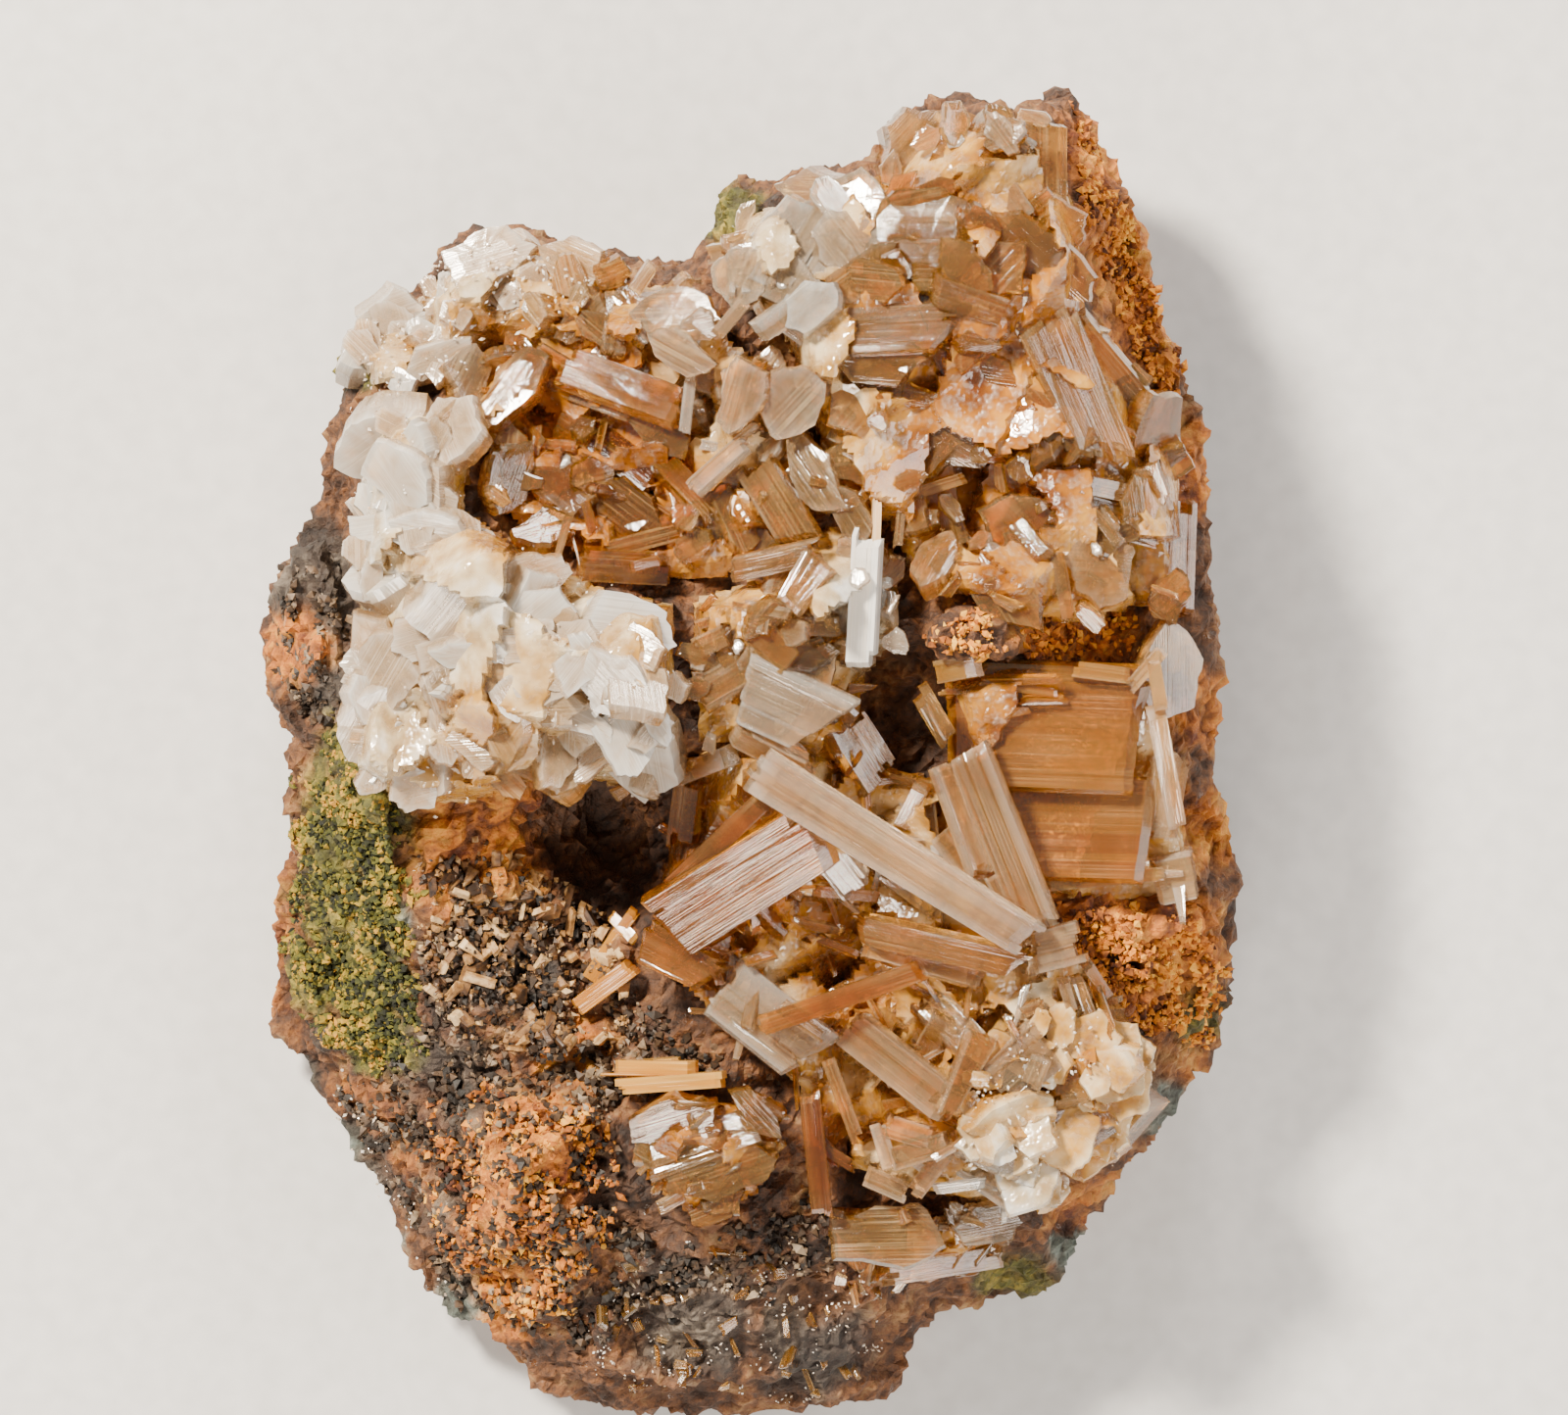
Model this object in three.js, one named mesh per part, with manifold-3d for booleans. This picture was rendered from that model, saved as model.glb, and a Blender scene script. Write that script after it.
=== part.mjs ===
import * as THREE from 'three';
import Module from 'manifold-3d';
import { mergeVertices } from 'three/addons/utils/BufferGeometryUtils.js';

const wasm = await Module();
wasm.setup();

// Millimetres. The specimen lies on its broken back, crystals up (+Z), the top of the photo towards +Y.

// Clearance kept between two solids that touch on the real stone.
const GAP = 0.3;
// How far the hidden back is drawn in from the widest outline, and where the flank turns under.
const BACK_INSET = 0.9;
const WAIST_INSET = 0.975;
// Fraction of the way out to the rim of each ring of the matrix's face.
const INNER_RINGS = [0.26, 0.5, 0.7];
const MIDDLE_RINGS = [0.84, 0.94];
const ROCK_ROUGHNESS = 0.45;
// Crystals with a smaller face than this, in square millimetres, are left out of the solids.
const LEAST_FACE = 3.4;
// Step that the finished corners are rounded to.
const CORNER_STEP = 0.01;
// Share of each crystal's lift that is used, and the width of its top face against its foot.
const LIFT_SCALE = 0.82;
const BEVEL = 0.8;

// Widest outline seen from above, clockwise from the top, x and y.
const OUTLINE = [
  [3.1, 24.5], [4.2, 24.3], [5.4, 25.3], [6.1, 26.4], [6.8, 26.8], [7.6, 27.4], [8.2, 27.5], [9.1, 27.6],
  [10.4, 27.1], [10.8, 26.6], [11.8, 27.2], [12.2, 27.7], [12.9, 27.8], [13.6, 27.5], [14.4, 26.4],
  [14.9, 25.2], [15.5, 24.3], [16.0, 23.3], [16.4, 22.0], [16.6, 20.5], [16.9, 19.0], [17.6, 17.0],
  [18.4, 15.0], [19.0, 13.3], [18.9, 12.0], [19.0, 9.6], [19.1, 7.5], [19.5, 4.4], [19.5, 2.4],
  [19.4, 0.8], [19.1, -0.4], [19.7, -1.8], [20.2, -3.4], [20.5, -5.2], [20.4, -5.8], [20.5, -7.4],
  [20.5, -8.4], [19.8, -9.9], [19.8, -10.8], [20.0, -11.7], [19.4, -12.8], [18.4, -13.1], [18.4, -14.0],
  [17.9, -15.0], [17.1, -15.4], [16.8, -16.3], [16.2, -17.3], [15.5, -18.0], [14.8, -19.0], [14.2, -19.2],
  [14.3, -20.2], [13.6, -21.2], [12.9, -22.3], [12.3, -22.8], [11.1, -23.1], [10.1, -23.3], [8.9, -23.0],
  [7.9, -23.5], [7.3, -24.1], [6.9, -25.2], [6.4, -26.5], [5.7, -27.2], [3.5, -27.5], [1.1, -27.7],
  [-1.7, -27.8], [-4.5, -27.6], [-6.9, -27.4], [-8.9, -26.6], [-9.9, -25.6], [-10.6, -24.8], [-11.0, -23.7],
  [-12.3, -23.9], [-13.0, -23.2], [-13.7, -22.4], [-14.4, -21.4], [-15.0, -20.0], [-15.5, -18.6],
  [-15.9, -17.5], [-16.7, -17.0], [-17.5, -15.4], [-18.7, -13.0], [-19.5, -12.4], [-20.2, -11.2],
  [-20.2, -9.0], [-20.2, -7.6], [-19.7, -5.2], [-19.1, -3.5], [-19.0, -2.8], [-19.8, -1.6], [-19.2, -0.9],
  [-18.8, 1.0], [-19.8, 2.1], [-20.5, 4.2], [-20.4, 5.6], [-19.9, 7.0], [-18.7, 9.2], [-17.8, 10.8],
  [-17.6, 12.8], [-16.7, 14.8], [-17.0, 16.5], [-16.6, 17.9], [-15.9, 18.7], [-14.6, 19.7], [-13.8, 19.4],
  [-12.9, 20.5], [-12.1, 21.5], [-9.8, 22.2], [-9.0, 22.1], [-8.1, 21.4], [-7.1, 21.1], [-5.2, 20.9],
  [-2.4, 20.5], [-2.1, 21.0], [-1.3, 21.6], [-1.2, 22.8], [-0.8, 23.9], [-0.2, 24.2], [0.3, 23.8],
  [1.1, 23.9], [2.3, 24.4],
];

// Heights of the matrix's face: x, y, height above the back.
const HEIGHTS_LEFT = [
  [-14, 12, 18], [-11, 9, 19], [-12, 5, 19.5], [-8, 4, 20], [-5, 3, 20.5], [-15, 8, 17.5], [-14, 1, 18],
  [-10, 1, 19], [-7, 0.6, 19.5], [-3, 1, 19.5], [-15, 17, 15], [-13, 16, 15], [-11, 17.5, 13.5],
  [-12, 20, 14], [-9, 20, 15], [-6, 19, 16], [-3, 18, 16.5], [-17, 4, 14.5], [-17.5, 8, 13.5],
];
const HEIGHTS_UPPER = [
  [-8, 12, 14], [-5, 14, 13.5], [-8, 15, 14], [-3, 11, 14.5], [-5, 8.6, 17], [0, 10, 17], [-2, 15, 14.5],
  [0, 19, 18], [1, 22, 17.5], [3, 23, 17], [4, 19, 18.5], [1, 16, 17.5], [6, 24, 17.5], [9, 25.3, 18],
  [12, 25, 16.5], [8, 20, 19], [12, 20, 18], [6, 17, 17.5], [10, 15, 17], [14, 16, 16], [14.3, 22, 15],
  [4, 13, 16], [8, 12, 15], [5, 9, 16], [9, 9, 15], [12, 8, 15.5], [16, 11, 15.5], [17, 8, 14.5],
  [2, 6, 18], [5, 5, 16.5],
];
const HEIGHTS_RIGHT = [
  [8.5, 5, 18.5], [10.5, 5, 17.5], [13.5, 5, 16.5], [7, 1.5, 11.5], [5, 1, 14], [6, 3, 12.5], [7.3, -0.8, 11.5],
  [10, 2, 14.5], [14, 2, 14.5], [17, 2, 15], [12, -1, 13.5], [16, -2, 14], [18, 4, 14], [18, -1, 13.5],
  [13, -6, 14], [16, -7, 13.5], [18, -6, 12.5], [15, -10, 13], [18.5, -8, 10.5], [17.5, -11, 9.5],
];
const HEIGHTS_CENTRE = [
  [0, -1, 16.5], [3, -3, 14.5], [6, -3, 12.5], [9, -4, 13.5], [4, -6, 13.5], [0, -5, 14], [-3, -3, 15],
  [8, -8, 12.5], [3, -10, 12], [5.5, -10.5, 10], [9, -10, 13], [0, -9, 13.5], [-4, -7, 12.5],
  [-1, -15, 13], [-2, -18, 12], [1, -17, 12], [-4, -13, 12], [5, -15, 12], [9, -14, 14], [12, -12, 14.5],
  [14, -13, 13.5], [16, -13, 11.5], [12, -17, 12], [14.6, -16, 9], [9, -18, 12], [5, -19, 10.5],
  [8, -20, 9.5], [11, -20, 8], [12.6, -20, 5.5], [11, -21.8, 4.5], [8, -22, 6.5],
];
const HEIGHTS_LOWER_LEFT = [
  [-6.5, -2.4, 7], [-8, -2.4, 8], [-5.6, -4.4, 7.5], [-7.4, -4, 7.5], [-12, -1.6, 15.5], [-10, -1, 16],
  [-12, -3.6, 13.5], [-10, -3.2, 12.5], [-13.4, -2.6, 14.5], [-11, -6, 12], [-9, -8, 11.5],
  [-7, -8, 10.5], [-12, -9, 12.5], [-9, -11, 11.5], [-6, -10.4, 9.5], [-15.5, -1, 14.5], [-17, -3, 11.5],
  [-15.6, -6, 11.5], [-18, -8, 7.5], [-14.6, -10, 10], [-17, -11, 6.5], [-13.6, -12, 9.5],
  [-18.5, 6, 12.5], [-19, 3, 11], [-14, -15, 8], [-16, -14.5, 5], [-13, -18, 7], [-11, -15.6, 11],
  [-14, -19, 4.5], [-9, -17, 13], [-8, -20, 12], [-10, -20, 9.5], [-7, -15, 12], [-11.4, -22.6, 4.5],
  [-9, -23, 7], [-4.6, -19, 7.5], [-4.6, -17, 9], [-5, -21, 9.5], [0, -22, 9.5], [4, -22, 8.5],
  [-2, -25, 6.5], [3, -25, 6], [-6, -24.5, 7],
];
const HEIGHTS_RIM = [
  [-16.6, 17.4, 10], [-17.7, 12, 9.5], [-14, 19.6, 10], [-10, 22.1, 11], [-5, 20.9, 12], [-2.2, 20.8, 13],
  [-0.5, 24, 12], [2.5, 24.4, 13], [6, 26.3, 12], [9, 27.6, 12], [12.9, 27.8, 11], [15, 25.1, 10],
  [16.5, 21, 10.5], [17.1, 18.4, 11], [18.5, 15, 11.5], [19, 11, 12], [19.1, 8, 12], [19.5, 4, 11.5],
  [19.3, 0, 11], [20.2, -3.2, 9.5], [20.6, -7.4, 7], [20, -11.5, 5.5], [18.4, -13.5, 6], [16, -17.4, 4],
  [14.1, -20.2, 3], [11, -23.1, 2.5], [8, -23.4, 3.5], [6.5, -26.4, 3.5], [0, -27.9, 3.5], [-6, -27.6, 3.5],
  [-10, -25.5, 3], [-13, -23.2, 2.5], [-15.5, -18.6, 2.5], [-18.1, -14.2, 2.5], [-20.2, -11, 3],
  [-20.2, -8, 4], [-19.4, -4.5, 6], [-19.6, -1.4, 8], [-20.4, 4.6, 7.5], [-19.7, 7.5, 9], [-18, 10.5, 9.5],
];
const HEIGHTS = [
  ...HEIGHTS_LEFT, ...HEIGHTS_UPPER, ...HEIGHTS_RIGHT, ...HEIGHTS_CENTRE, ...HEIGHTS_LOWER_LEFT, ...HEIGHTS_RIM,
];

// Crystals: start x, y, lift over the matrix; end x, y, lift; width; thickness; roll; end taper; end slant.
const WHITE_BLADES = [
  [-16.3, 11.0, 3, -13.7, 14.3, 3.5, 3.2, 1.6, 15], [-15.6, 10.0, 4, -12.9, 13.2, 5, 2.6, 1.5, -20],
  [-12.9, 14.8, 3, -11.3, 12.2, 5, 2.4, 0.9, 10], [-16.4, 9.0, 2.8, -13.5, 7.0, 4.5, 2.8, 1.4, -15],
  [-13.3, 4.2, 4, -11.3, 7.8, 5.5, 2.4, 1.6, 20, 0.7], [-15.9, 2.2, 3, -13.3, 5.0, 4.5, 2.4, 1.3, -10],
  [-15.9, -0.4, 2.8, -14.7, 3.0, 3.5, 2.0, 1.3, 15], [-12.5, -0.6, 2.8, -8.9, 2.2, 3.8, 2.6, 1.0, -12, 1, 0.6],
  [-12.7, 3.8, 4.4, -10.0, 4.7, 4.4, 1.2, 1.0, 25], [-7.1, 5.0, 4, -3.0, 4.8, 3.5, 3.0, 1.8, -8, 1, 0.8],
  [-8.7, 2.6, 3.6, -5.9, 5.4, 4.4, 2.4, 1.5, -18], [-3.8, 3.0, 3.5, -5.3, -2.8, 6, 3.0, 1.2, 10, 0.7, 1.2],
  [-10.3, 6.9, 3.7, -7.3, 7.6, 4, 1.9, 1.2, 14], [-7.8, 0.3, 2.8, -6.5, 2.4, 3.5, 2.2, 1.1, -20],
  [-14.7, 12.0, 4, -12.0, 10.2, 5, 2.2, 1.2, 22], [-13.9, -1.7, 2.4, -12.2, 0.4, 3.2, 1.8, 1.0, -20],
];
const WHITE_BED = [
  [-15.9, 13.0], [-13.5, 14.6], [-11.4, 14.2], [-11.2, 12.0], [-11.5, 10.3], [-8.8, 8.4], [-5.6, 7.0],
  [-2.9, 6.4], [-2.9, 3.0], [-3.6, 0], [-4.9, -1.6], [-6.3, -1.0], [-8.6, -1.0], [-11, -1.8], [-13.5, -2.0],
  [-14.9, -1.4], [-16.2, -0.4], [-16.0, 3.6], [-16.0, 7], [-16.2, 10.2],
];

const KNOB_BLADES = [
  [-16.1, 15.8, 1.5, -14.5, 19.0, 2, 2.4, 2.0, 0], [-12.5, 20.2, 2.2, -9.1, 21.2, 2.6, 2.0, 0.9, -10, 1, 0.8],
  [-13.3, 19.8, 2.4, -11.5, 18.6, 2.6, 1.1, 0.8, 15], [-10.1, 21.8, 1.6, -9.0, 21.1, 1.8, 0.8, 0.7, 0],
  [-8.5, 20.8, 2, -5.9, 19.8, 2.4, 1.7, 0.8, 10], [-9.4, 19.0, 2.4, -8.2, 18.0, 3, 1.1, 0.9, 20],
  [-13.9, 15.8, 2.2, -11.5, 17.0, 2.6, 1.2, 0.7, 20], [-15.9, 17.9, 1.6, -13.4, 18.6, 2, 1.9, 1.6, 18],
];
const KNOB_BED = [
  [-16.2, 16.4], [-15.8, 17.9], [-14.2, 18.9], [-12.4, 20.2], [-9.4, 21.3], [-6.4, 20.2], [-6.0, 19.0],
  [-8.6, 17.6], [-11.6, 16.4], [-13.4, 15.4], [-15.4, 15.2],
];

const VUG_BLADES = [
  [-12.0, 14.6, 2, -10.5, 16.6, 3, 2.0, 0.8, 20], [-10.7, 13.8, 3, -8.7, 16.8, 3.5, 1.8, 0.8, -25],
  [-10.1, 17.2, 2.4, -8.1, 15.2, 3.2, 1.3, 0.7, 15], [-5.4, 16.6, 3.4, -5.4, 20.3, 2.8, 1.0, 0.7, 15],
  [-4.8, 18.3, 3, -1.3, 18.1, 3, 1.7, 0.8, -12, 1, 0.7], [-2.7, 17.2, 3.4, -1.3, 17.8, 3.4, 1.2, 0.6, 20],
  [-4.0, 17.2, 4.2, -1.6, 15.9, 5, 1.3, 0.8, 10, 0.5], [-2.3, 15.8, 4.2, -2.6, 13.2, 4.4, 0.5, 0.5, 0],
  [-7.8, 16.3, 4, -2.7, 14.4, 5, 1.7, 0.9, -15], [-7.5, 15.2, 3.2, -4.9, 14.2, 3.8, 0.9, 0.6, 10],
  [-7.9, 17.2, 2, -5.9, 19.2, 2.6, 2.0, 1.3, 0], [0.1, 16.4, 4, -0.8, 13.6, 4.6, 1.8, 0.8, 15, 0.8, 0.6],
  [2.9, 15.6, 4, 0.9, 13.4, 4.2, 2.2, 0.9, -10], [0.4, 13.5, 4.4, -2.4, 11.0, 5, 0.8, 0.6, 25],
  [-0.1, 12.4, 3.4, 2.1, 8.8, 3, 1.7, 0.9, 15, 1, 0.6], [-0.8, 11.0, 2.6, 0.1, 8.6, 2.2, 1.5, 0.8, -20],
  [-2.2, 10.3, 4, -2.9, 9.5, 4.2, 1.0, 0.6, 0, 0.4], [-1.5, 9.2, 3, -3.0, 8.2, 2.4, 1.2, 0.8, 0],
  [-6.0, 8.4, 1.6, -2.6, 9.3, 2.4, 0.7, 0.6, 10], [-6.8, 7.9, 1.8, -2.9, 7.7, 1.8, 1.4, 0.8, 12],
  [-10.5, 10.2, 1.5, -8.9, 13.0, 3, 1.7, 0.7, 30], [-8.7, 12.6, 2, -6.5, 10.2, 2.4, 1.9, 0.8, -15],
  [-8.1, 13.8, 2.4, -4.9, 11.8, 2.4, 1.2, 0.7, 20], [-6.5, 13.4, 2.4, -3.3, 11.0, 2.6, 1.6, 0.8, -20],
  [-6.1, 11.0, 2, -3.7, 9.2, 1.8, 1.8, 0.8, 15], [-4.9, 13.8, 2.8, -2.5, 12.8, 3, 1.3, 0.7, 10],
  [-9.5, 9.0, 1.8, -6.9, 10.2, 2, 1.5, 0.8, -25], [-3.6, 12.4, 3, -1.2, 9.9, 3.4, 1.1, 0.7, -18],
];
const VUG_BED = [
  [-11.4, 14.8], [-10.4, 17.0], [-8, 19.4], [-5, 20.2], [-2.2, 19.2], [-0.6, 17.2], [1.6, 15.8], [2.9, 13],
  [3, 10], [1.4, 8.2], [-1.2, 7.2], [-5, 7.6], [-8.6, 9.0], [-10.9, 10.6], [-10.7, 12.6],
];

const RIDGE_BLADES = [
  [-2.2, 20.6, 3, 1.0, 20.9, 3.4, 0.8, 0.7, 10], [-0.3, 19.0, 4, -0.3, 21.2, 3.4, 0.9, 0.7, 0],
  [-0.1, 18.6, 4, -1.3, 17.2, 5, 0.6, 0.6, 0], [3.4, 22.8, 3.2, 1.1, 19.0, 4.2, 1.0, 0.9, 10],
  [2.3, 23.0, 3, 0.5, 19.4, 4, 0.9, 0.8, -10], [4.3, 22.4, 3, 1.5, 17.8, 4.6, 1.1, 0.9, 15],
  [3.5, 19.4, 4, 0.5, 17.2, 4.6, 1.0, 0.9, -15], [1.5, 17.6, 4.6, 3.5, 19.0, 5, 1.6, 1.1, -15],
  [1.3, 23.2, 2.6, 4.3, 23.3, 2.6, 1.5, 1.2, 10], [5.9, 24.4, 2.2, 7.9, 26.4, 2.4, 2.4, 1.8, 10],
  [7.9, 24.4, 2, 9.5, 26.4, 2.4, 2.2, 1.6, -12], [9.7, 25.4, 2.4, 10.7, 26.6, 2.4, 1.2, 0.9, 0],
  [12.1, 20.8, 2.8, 12.2, 26.2, 3, 2.0, 1.3, 20], [5.1, 21.2, 3, 9.7, 21.0, 3.4, 3.0, 1.2, -8, 1, 0.9],
  [9.9, 22.2, 4, 13.5, 18.7, 5, 2.2, 1.2, 15, 1, 0.6], [6.5, 19.6, 3.8, 11.9, 19.4, 4, 1.3, 0.9, -12],
  [4.0, 19.5, 3.6, 6.1, 19.4, 4, 1.6, 0.8, 10], [3.5, 17.4, 4, 8.5, 17.6, 4.4, 2.0, 0.9, -12, 1, 0.8],
  [3.9, 16.1, 3.8, 7.3, 16.0, 4.2, 1.8, 0.9, 12], [7.4, 19.0, 4.4, 10.6, 18.0, 4.8, 1.3, 0.8, 14],
  [8.4, 17.2, 4, 10.3, 17.1, 4.2, 1.2, 0.8, -15], [8.4, 15.6, 3.2, 11.0, 15.3, 3.6, 1.7, 0.8, 15],
  [12.1, 18.2, 4.6, 14.9, 12.0, 4.6, 2.6, 1.1, -12, 0.85, 1.0], [13.1, 17.8, 4.4, 16.1, 14.4, 4, 1.4, 0.9, 15],
  [15.2, 13.4, 3, 18.3, 13.2, 3.2, 3.0, 1.1, 18], [11.6, 15.0, 3.4, 13.7, 12.4, 3.8, 1.6, 0.8, -10],
  [6.5, 11.8, 2.8, 8.9, 14.2, 3.4, 2.0, 0.9, -20], [6.7, 13.8, 3.4, 9.3, 12.2, 3.6, 1.6, 0.8, 20],
  [9.6, 13.2, 3.2, 11.8, 14.2, 3.6, 1.3, 0.8, 15], [1.6, 13.0, 3, 3.9, 10.2, 3.4, 1.7, 0.9, 15],
  [3.5, 13.8, 3.2, 5.5, 12.2, 3.6, 1.4, 0.8, -20], [3.4, 11.0, 3, 4.7, 8.9, 3.4, 1.3, 0.8, 15],
  [5.0, 13.4, 4.4, 5.7, 14.0, 4.8, 0.9, 0.8, 20], [6.1, 11.2, 4.2, 7.2, 11.6, 4.6, 0.7, 0.6, 0],
  [9.0, 12.1, 4.2, 9.9, 12.6, 4.6, 0.7, 0.7, 20], [10.6, 11.5, 3.8, 11.5, 12.1, 4.2, 1.0, 0.8, 15],
  [9.0, 8.7, 3.8, 9.9, 9.1, 4.2, 0.6, 0.6, 0], [6.6, 9.4, 3, 7.6, 10.2, 3.4, 1.0, 0.7, -20],
  [6.7, 10.8, 3.4, 8.9, 11.5, 3.8, 0.5, 0.5, 0], [8.0, 9.4, 3.6, 7.2, 6.9, 4.2, 1.4, 0.9, 20, 0.6],
  [13.2, 11.3, 4, 17.0, 10.6, 4, 0.8, 0.7, 0], [13.4, 10.2, 3.2, 17.1, 9.2, 3.4, 1.5, 0.9, 10],
  [13.1, 7.8, 3.2, 15.9, 7.7, 3.2, 3.0, 1.0, -10, 1, 0.5], [9.3, 8.6, 3.4, 11.6, 5.4, 3.6, 2.4, 1.0, 10, 1, 0.6],
  [10.5, 10.1, 3.8, 12.2, 8.0, 4.2, 0.8, 0.7, 10], [12.6, 8.6, 4.2, 13.1, 5.6, 4.2, 0.6, 0.6, 0],
  [17.5, 6.0, 2, 17.7, 11.0, 2.4, 2.0, 1.5, 25], [17.4, 1.4, 1.6, 17.4, 5.4, 2, 2.4, 1.3, 22],
];
const RIDGE_BED = [
  [2.9, 23.2], [5.4, 24.0], [7.6, 26.2], [11.2, 26.2], [12.9, 26.2], [13.4, 22.6], [13.9, 18.6], [16.3, 15],
  [17.9, 12.6], [18.1, 6], [15.9, 6.1], [13.1, 5.4], [9.8, 6.4], [7.1, 6.9], [5.7, 9.6], [3.4, 10.4],
  [2.6, 14], [1.4, 17.2], [-1.4, 19.6], [-0.2, 22.4],
];

const CENTRE_BLADES = [
  [-0.8, 7.6, 3.4, 2.9, 8.4, 4.2, 1.0, 0.8, 12], [3.0, 8.3, 4.4, 1.5, 6.1, 4, 1.6, 0.9, 10, 0.7],
  [-0.8, 6.4, 4, 1.7, 5.9, 4.4, 0.5, 0.5, 0], [-0.5, 5.5, 3, 3.8, 5.4, 3.6, 0.9, 0.7, 15],
  [-2.1, 4.5, 3.6, -0.6, 5.2, 3.8, 0.9, 0.6, 0], [-0.5, 3.0, 4.4, 3.4, 1.2, 6.4, 3.0, 1.1, 10, 1, 0.8],
  [-0.6, 0.9, 3.6, 2.7, -0.8, 4.6, 1.0, 0.8, 35], [4.7, 8.4, 5, 4.4, 3.4, 6, 1.2, 1.0, 5],
  [5.4, 8.3, 4.4, 5.2, 3.2, 5.4, 0.6, 0.7, 0], [6.4, 11.6, 3.6, 6.1, 8.6, 4, 0.4, 0.4, 0],
  [3.9, 1.8, 3.2, 5.7, -1.0, 3, 2.0, 0.9, -25], [-2.2, 2.6, 2.6, 0.6, 4.2, 3, 1.4, 0.9, -20],
  [0.8, 7.2, 2.6, 4.6, 6.6, 3, 1.6, 0.9, -12],
];
const CENTRE_BED = [
  [-2.2, 6.6], [1.4, 7.8], [3.4, 9.8], [5.4, 9.2], [6.4, 8.2], [6.2, 5.0], [4.9, 3.2], [4.5, -0.6], [0.8, 0.4],
  [-2.0, 0.6], [-2.2, 3.2],
];

const JACKSTRAW_BLADES = [
  [7.1, -1.2, 3.4, 6.2, -3.0, 2.6, 0.7, 0.6, 0], [7.0, 2.8, 6.4, 8.3, 0.6, 5.2, 0.9, 0.7, 0],
  [8.9, 0.4, 5.2, 11.7, -6.6, 5.6, 1.7, 1.0, 12, 1, 0.5], [8.1, 0, 4.2, 9.9, -5.0, 4.6, 1.1, 0.8, -25],
  [7.9, -3.0, 3.4, 9.4, -4.8, 3.6, 1.3, 0.8, 10], [10.3, -4.5, 4, 12.0, -7.7, 4.4, 1.5, 0.9, 0],
  [0.3, -0.4, 7.2, 11.9, -7.7, 6.6, 2.0, 1.2, 5, 0.85], [11.5, -8.0, 5, 13.9, -7.4, 4.2, 1.8, 1.7, 0],
  [12.9, -9.0, 3.6, 13.4, -10.6, 3.2, 0.5, 0.5, 0], [13.5, -9.0, 3.6, 14.2, -10.8, 3, 0.5, 0.5, 0],
  [13.9, -8.4, 3.4, 15.1, -10.2, 2.8, 0.5, 0.5, 0], [4.4, -7.0, 4.2, 11.3, -8.5, 5.4, 1.2, 0.9, 15, 1, 0.5],
  [4.7, -7.6, 3.4, 9.9, -9.0, 3.8, 1.0, 0.8, -10], [-3.7, -7.2, 5, 2.9, -3.0, 6.6, 3.1, 1.2, 8, 1, 0.5],
  [-4.5, -7.4, 3.8, -1.5, -9.0, 4, 2.0, 1.0, 12, 0.8, 0.6], [-3.5, -5.6, 5, 0.7, -1.6, 5.6, 0.9, 0.8, 0],
  [-2.5, -0.7, 3, -2.9, -3.8, 3.4, 1.2, 0.9, 20], [-3.2, -0.8, 3.2, -0.9, 0.1, 3.4, 0.9, 0.7, 0],
  [0.3, -11.0, 4.6, 7.3, -8.6, 4.4, 0.9, 0.8, 0], [-1.1, -9.2, 3.2, 2.9, -12.4, 4, 2.8, 1.1, -5, 1, 0.6],
  [1.5, -10.2, 4.8, 3.5, -11.6, 5.2, 0.7, 0.7, 0], [3.7, -10.8, 4.4, 8.3, -14.4, 4.6, 1.7, 1.0, 12],
  [9.9, -11.0, 4.2, 8.0, -15.0, 4.4, 1.3, 0.8, -20, 0.5], [7.1, -12.4, 3.4, 7.9, -10.9, 3.4, 1.0, 0.8, 0],
  [3.3, -12.4, 4.2, 4.7, -16.2, 4.4, 0.6, 0.6, 0], [2.5, -13.6, 3.4, 3.1, -19.2, 3.4, 0.9, 0.8, 0],
  [3.0, -16.0, 2.8, 4.4, -16.9, 3.2, 0.5, 0.5, 0], [4.8, -17.2, 2.8, 6.6, -18.0, 3, 0.9, 0.7, 0],
  [5.3, -15.0, 3.6, 7.5, -15.6, 3.6, 1.0, 0.8, 0], [5.7, -16.6, 3.4, 8.1, -15.8, 3.4, 1.0, 0.8, 0],
  [5.3, -15.0, 3.8, 5.9, -17.0, 3.8, 0.7, 0.7, 0], [6.7, -18.2, 3, 8.1, -16.2, 3.4, 0.8, 0.7, 0],
  [9.9, -13.8, 2.8, 12.7, -11.4, 3, 2.4, 1.6, 15], [12.3, -13.0, 3, 15.3, -12.6, 3, 2.6, 1.8, -15],
  [11.9, -16.2, 2.8, 14.9, -14.2, 2.8, 2.6, 1.6, 15], [13.9, -16.2, 2.4, 16.1, -13.6, 2.6, 2.0, 1.5, -20],
  [13.1, -11.0, 2.8, 15.9, -11.0, 2.8, 1.6, 1.3, 20], [11.5, -13.6, 4.2, 12.0, -12.3, 4.4, 0.9, 0.9, 0],
  [9.7, -17.0, 3, 11.9, -18.6, 3, 1.8, 1.1, 10], [8.9, -15.4, 2.8, 11.5, -16.6, 3, 1.6, 1.1, -15],
  [2.0, -2.4, 3.4, 4.6, -5.6, 3.4, 1.5, 0.9, 18], [-1.4, -3.6, 2.4, 2.2, -7.0, 2.6, 1.6, 0.9, -20],
  [5.4, -4.2, 3, 8.0, -6.2, 3.2, 1.4, 0.8, 20], [7.2, -9.6, 2.6, 9.4, -11.8, 2.8, 1.5, 0.9, -15],
];
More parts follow.
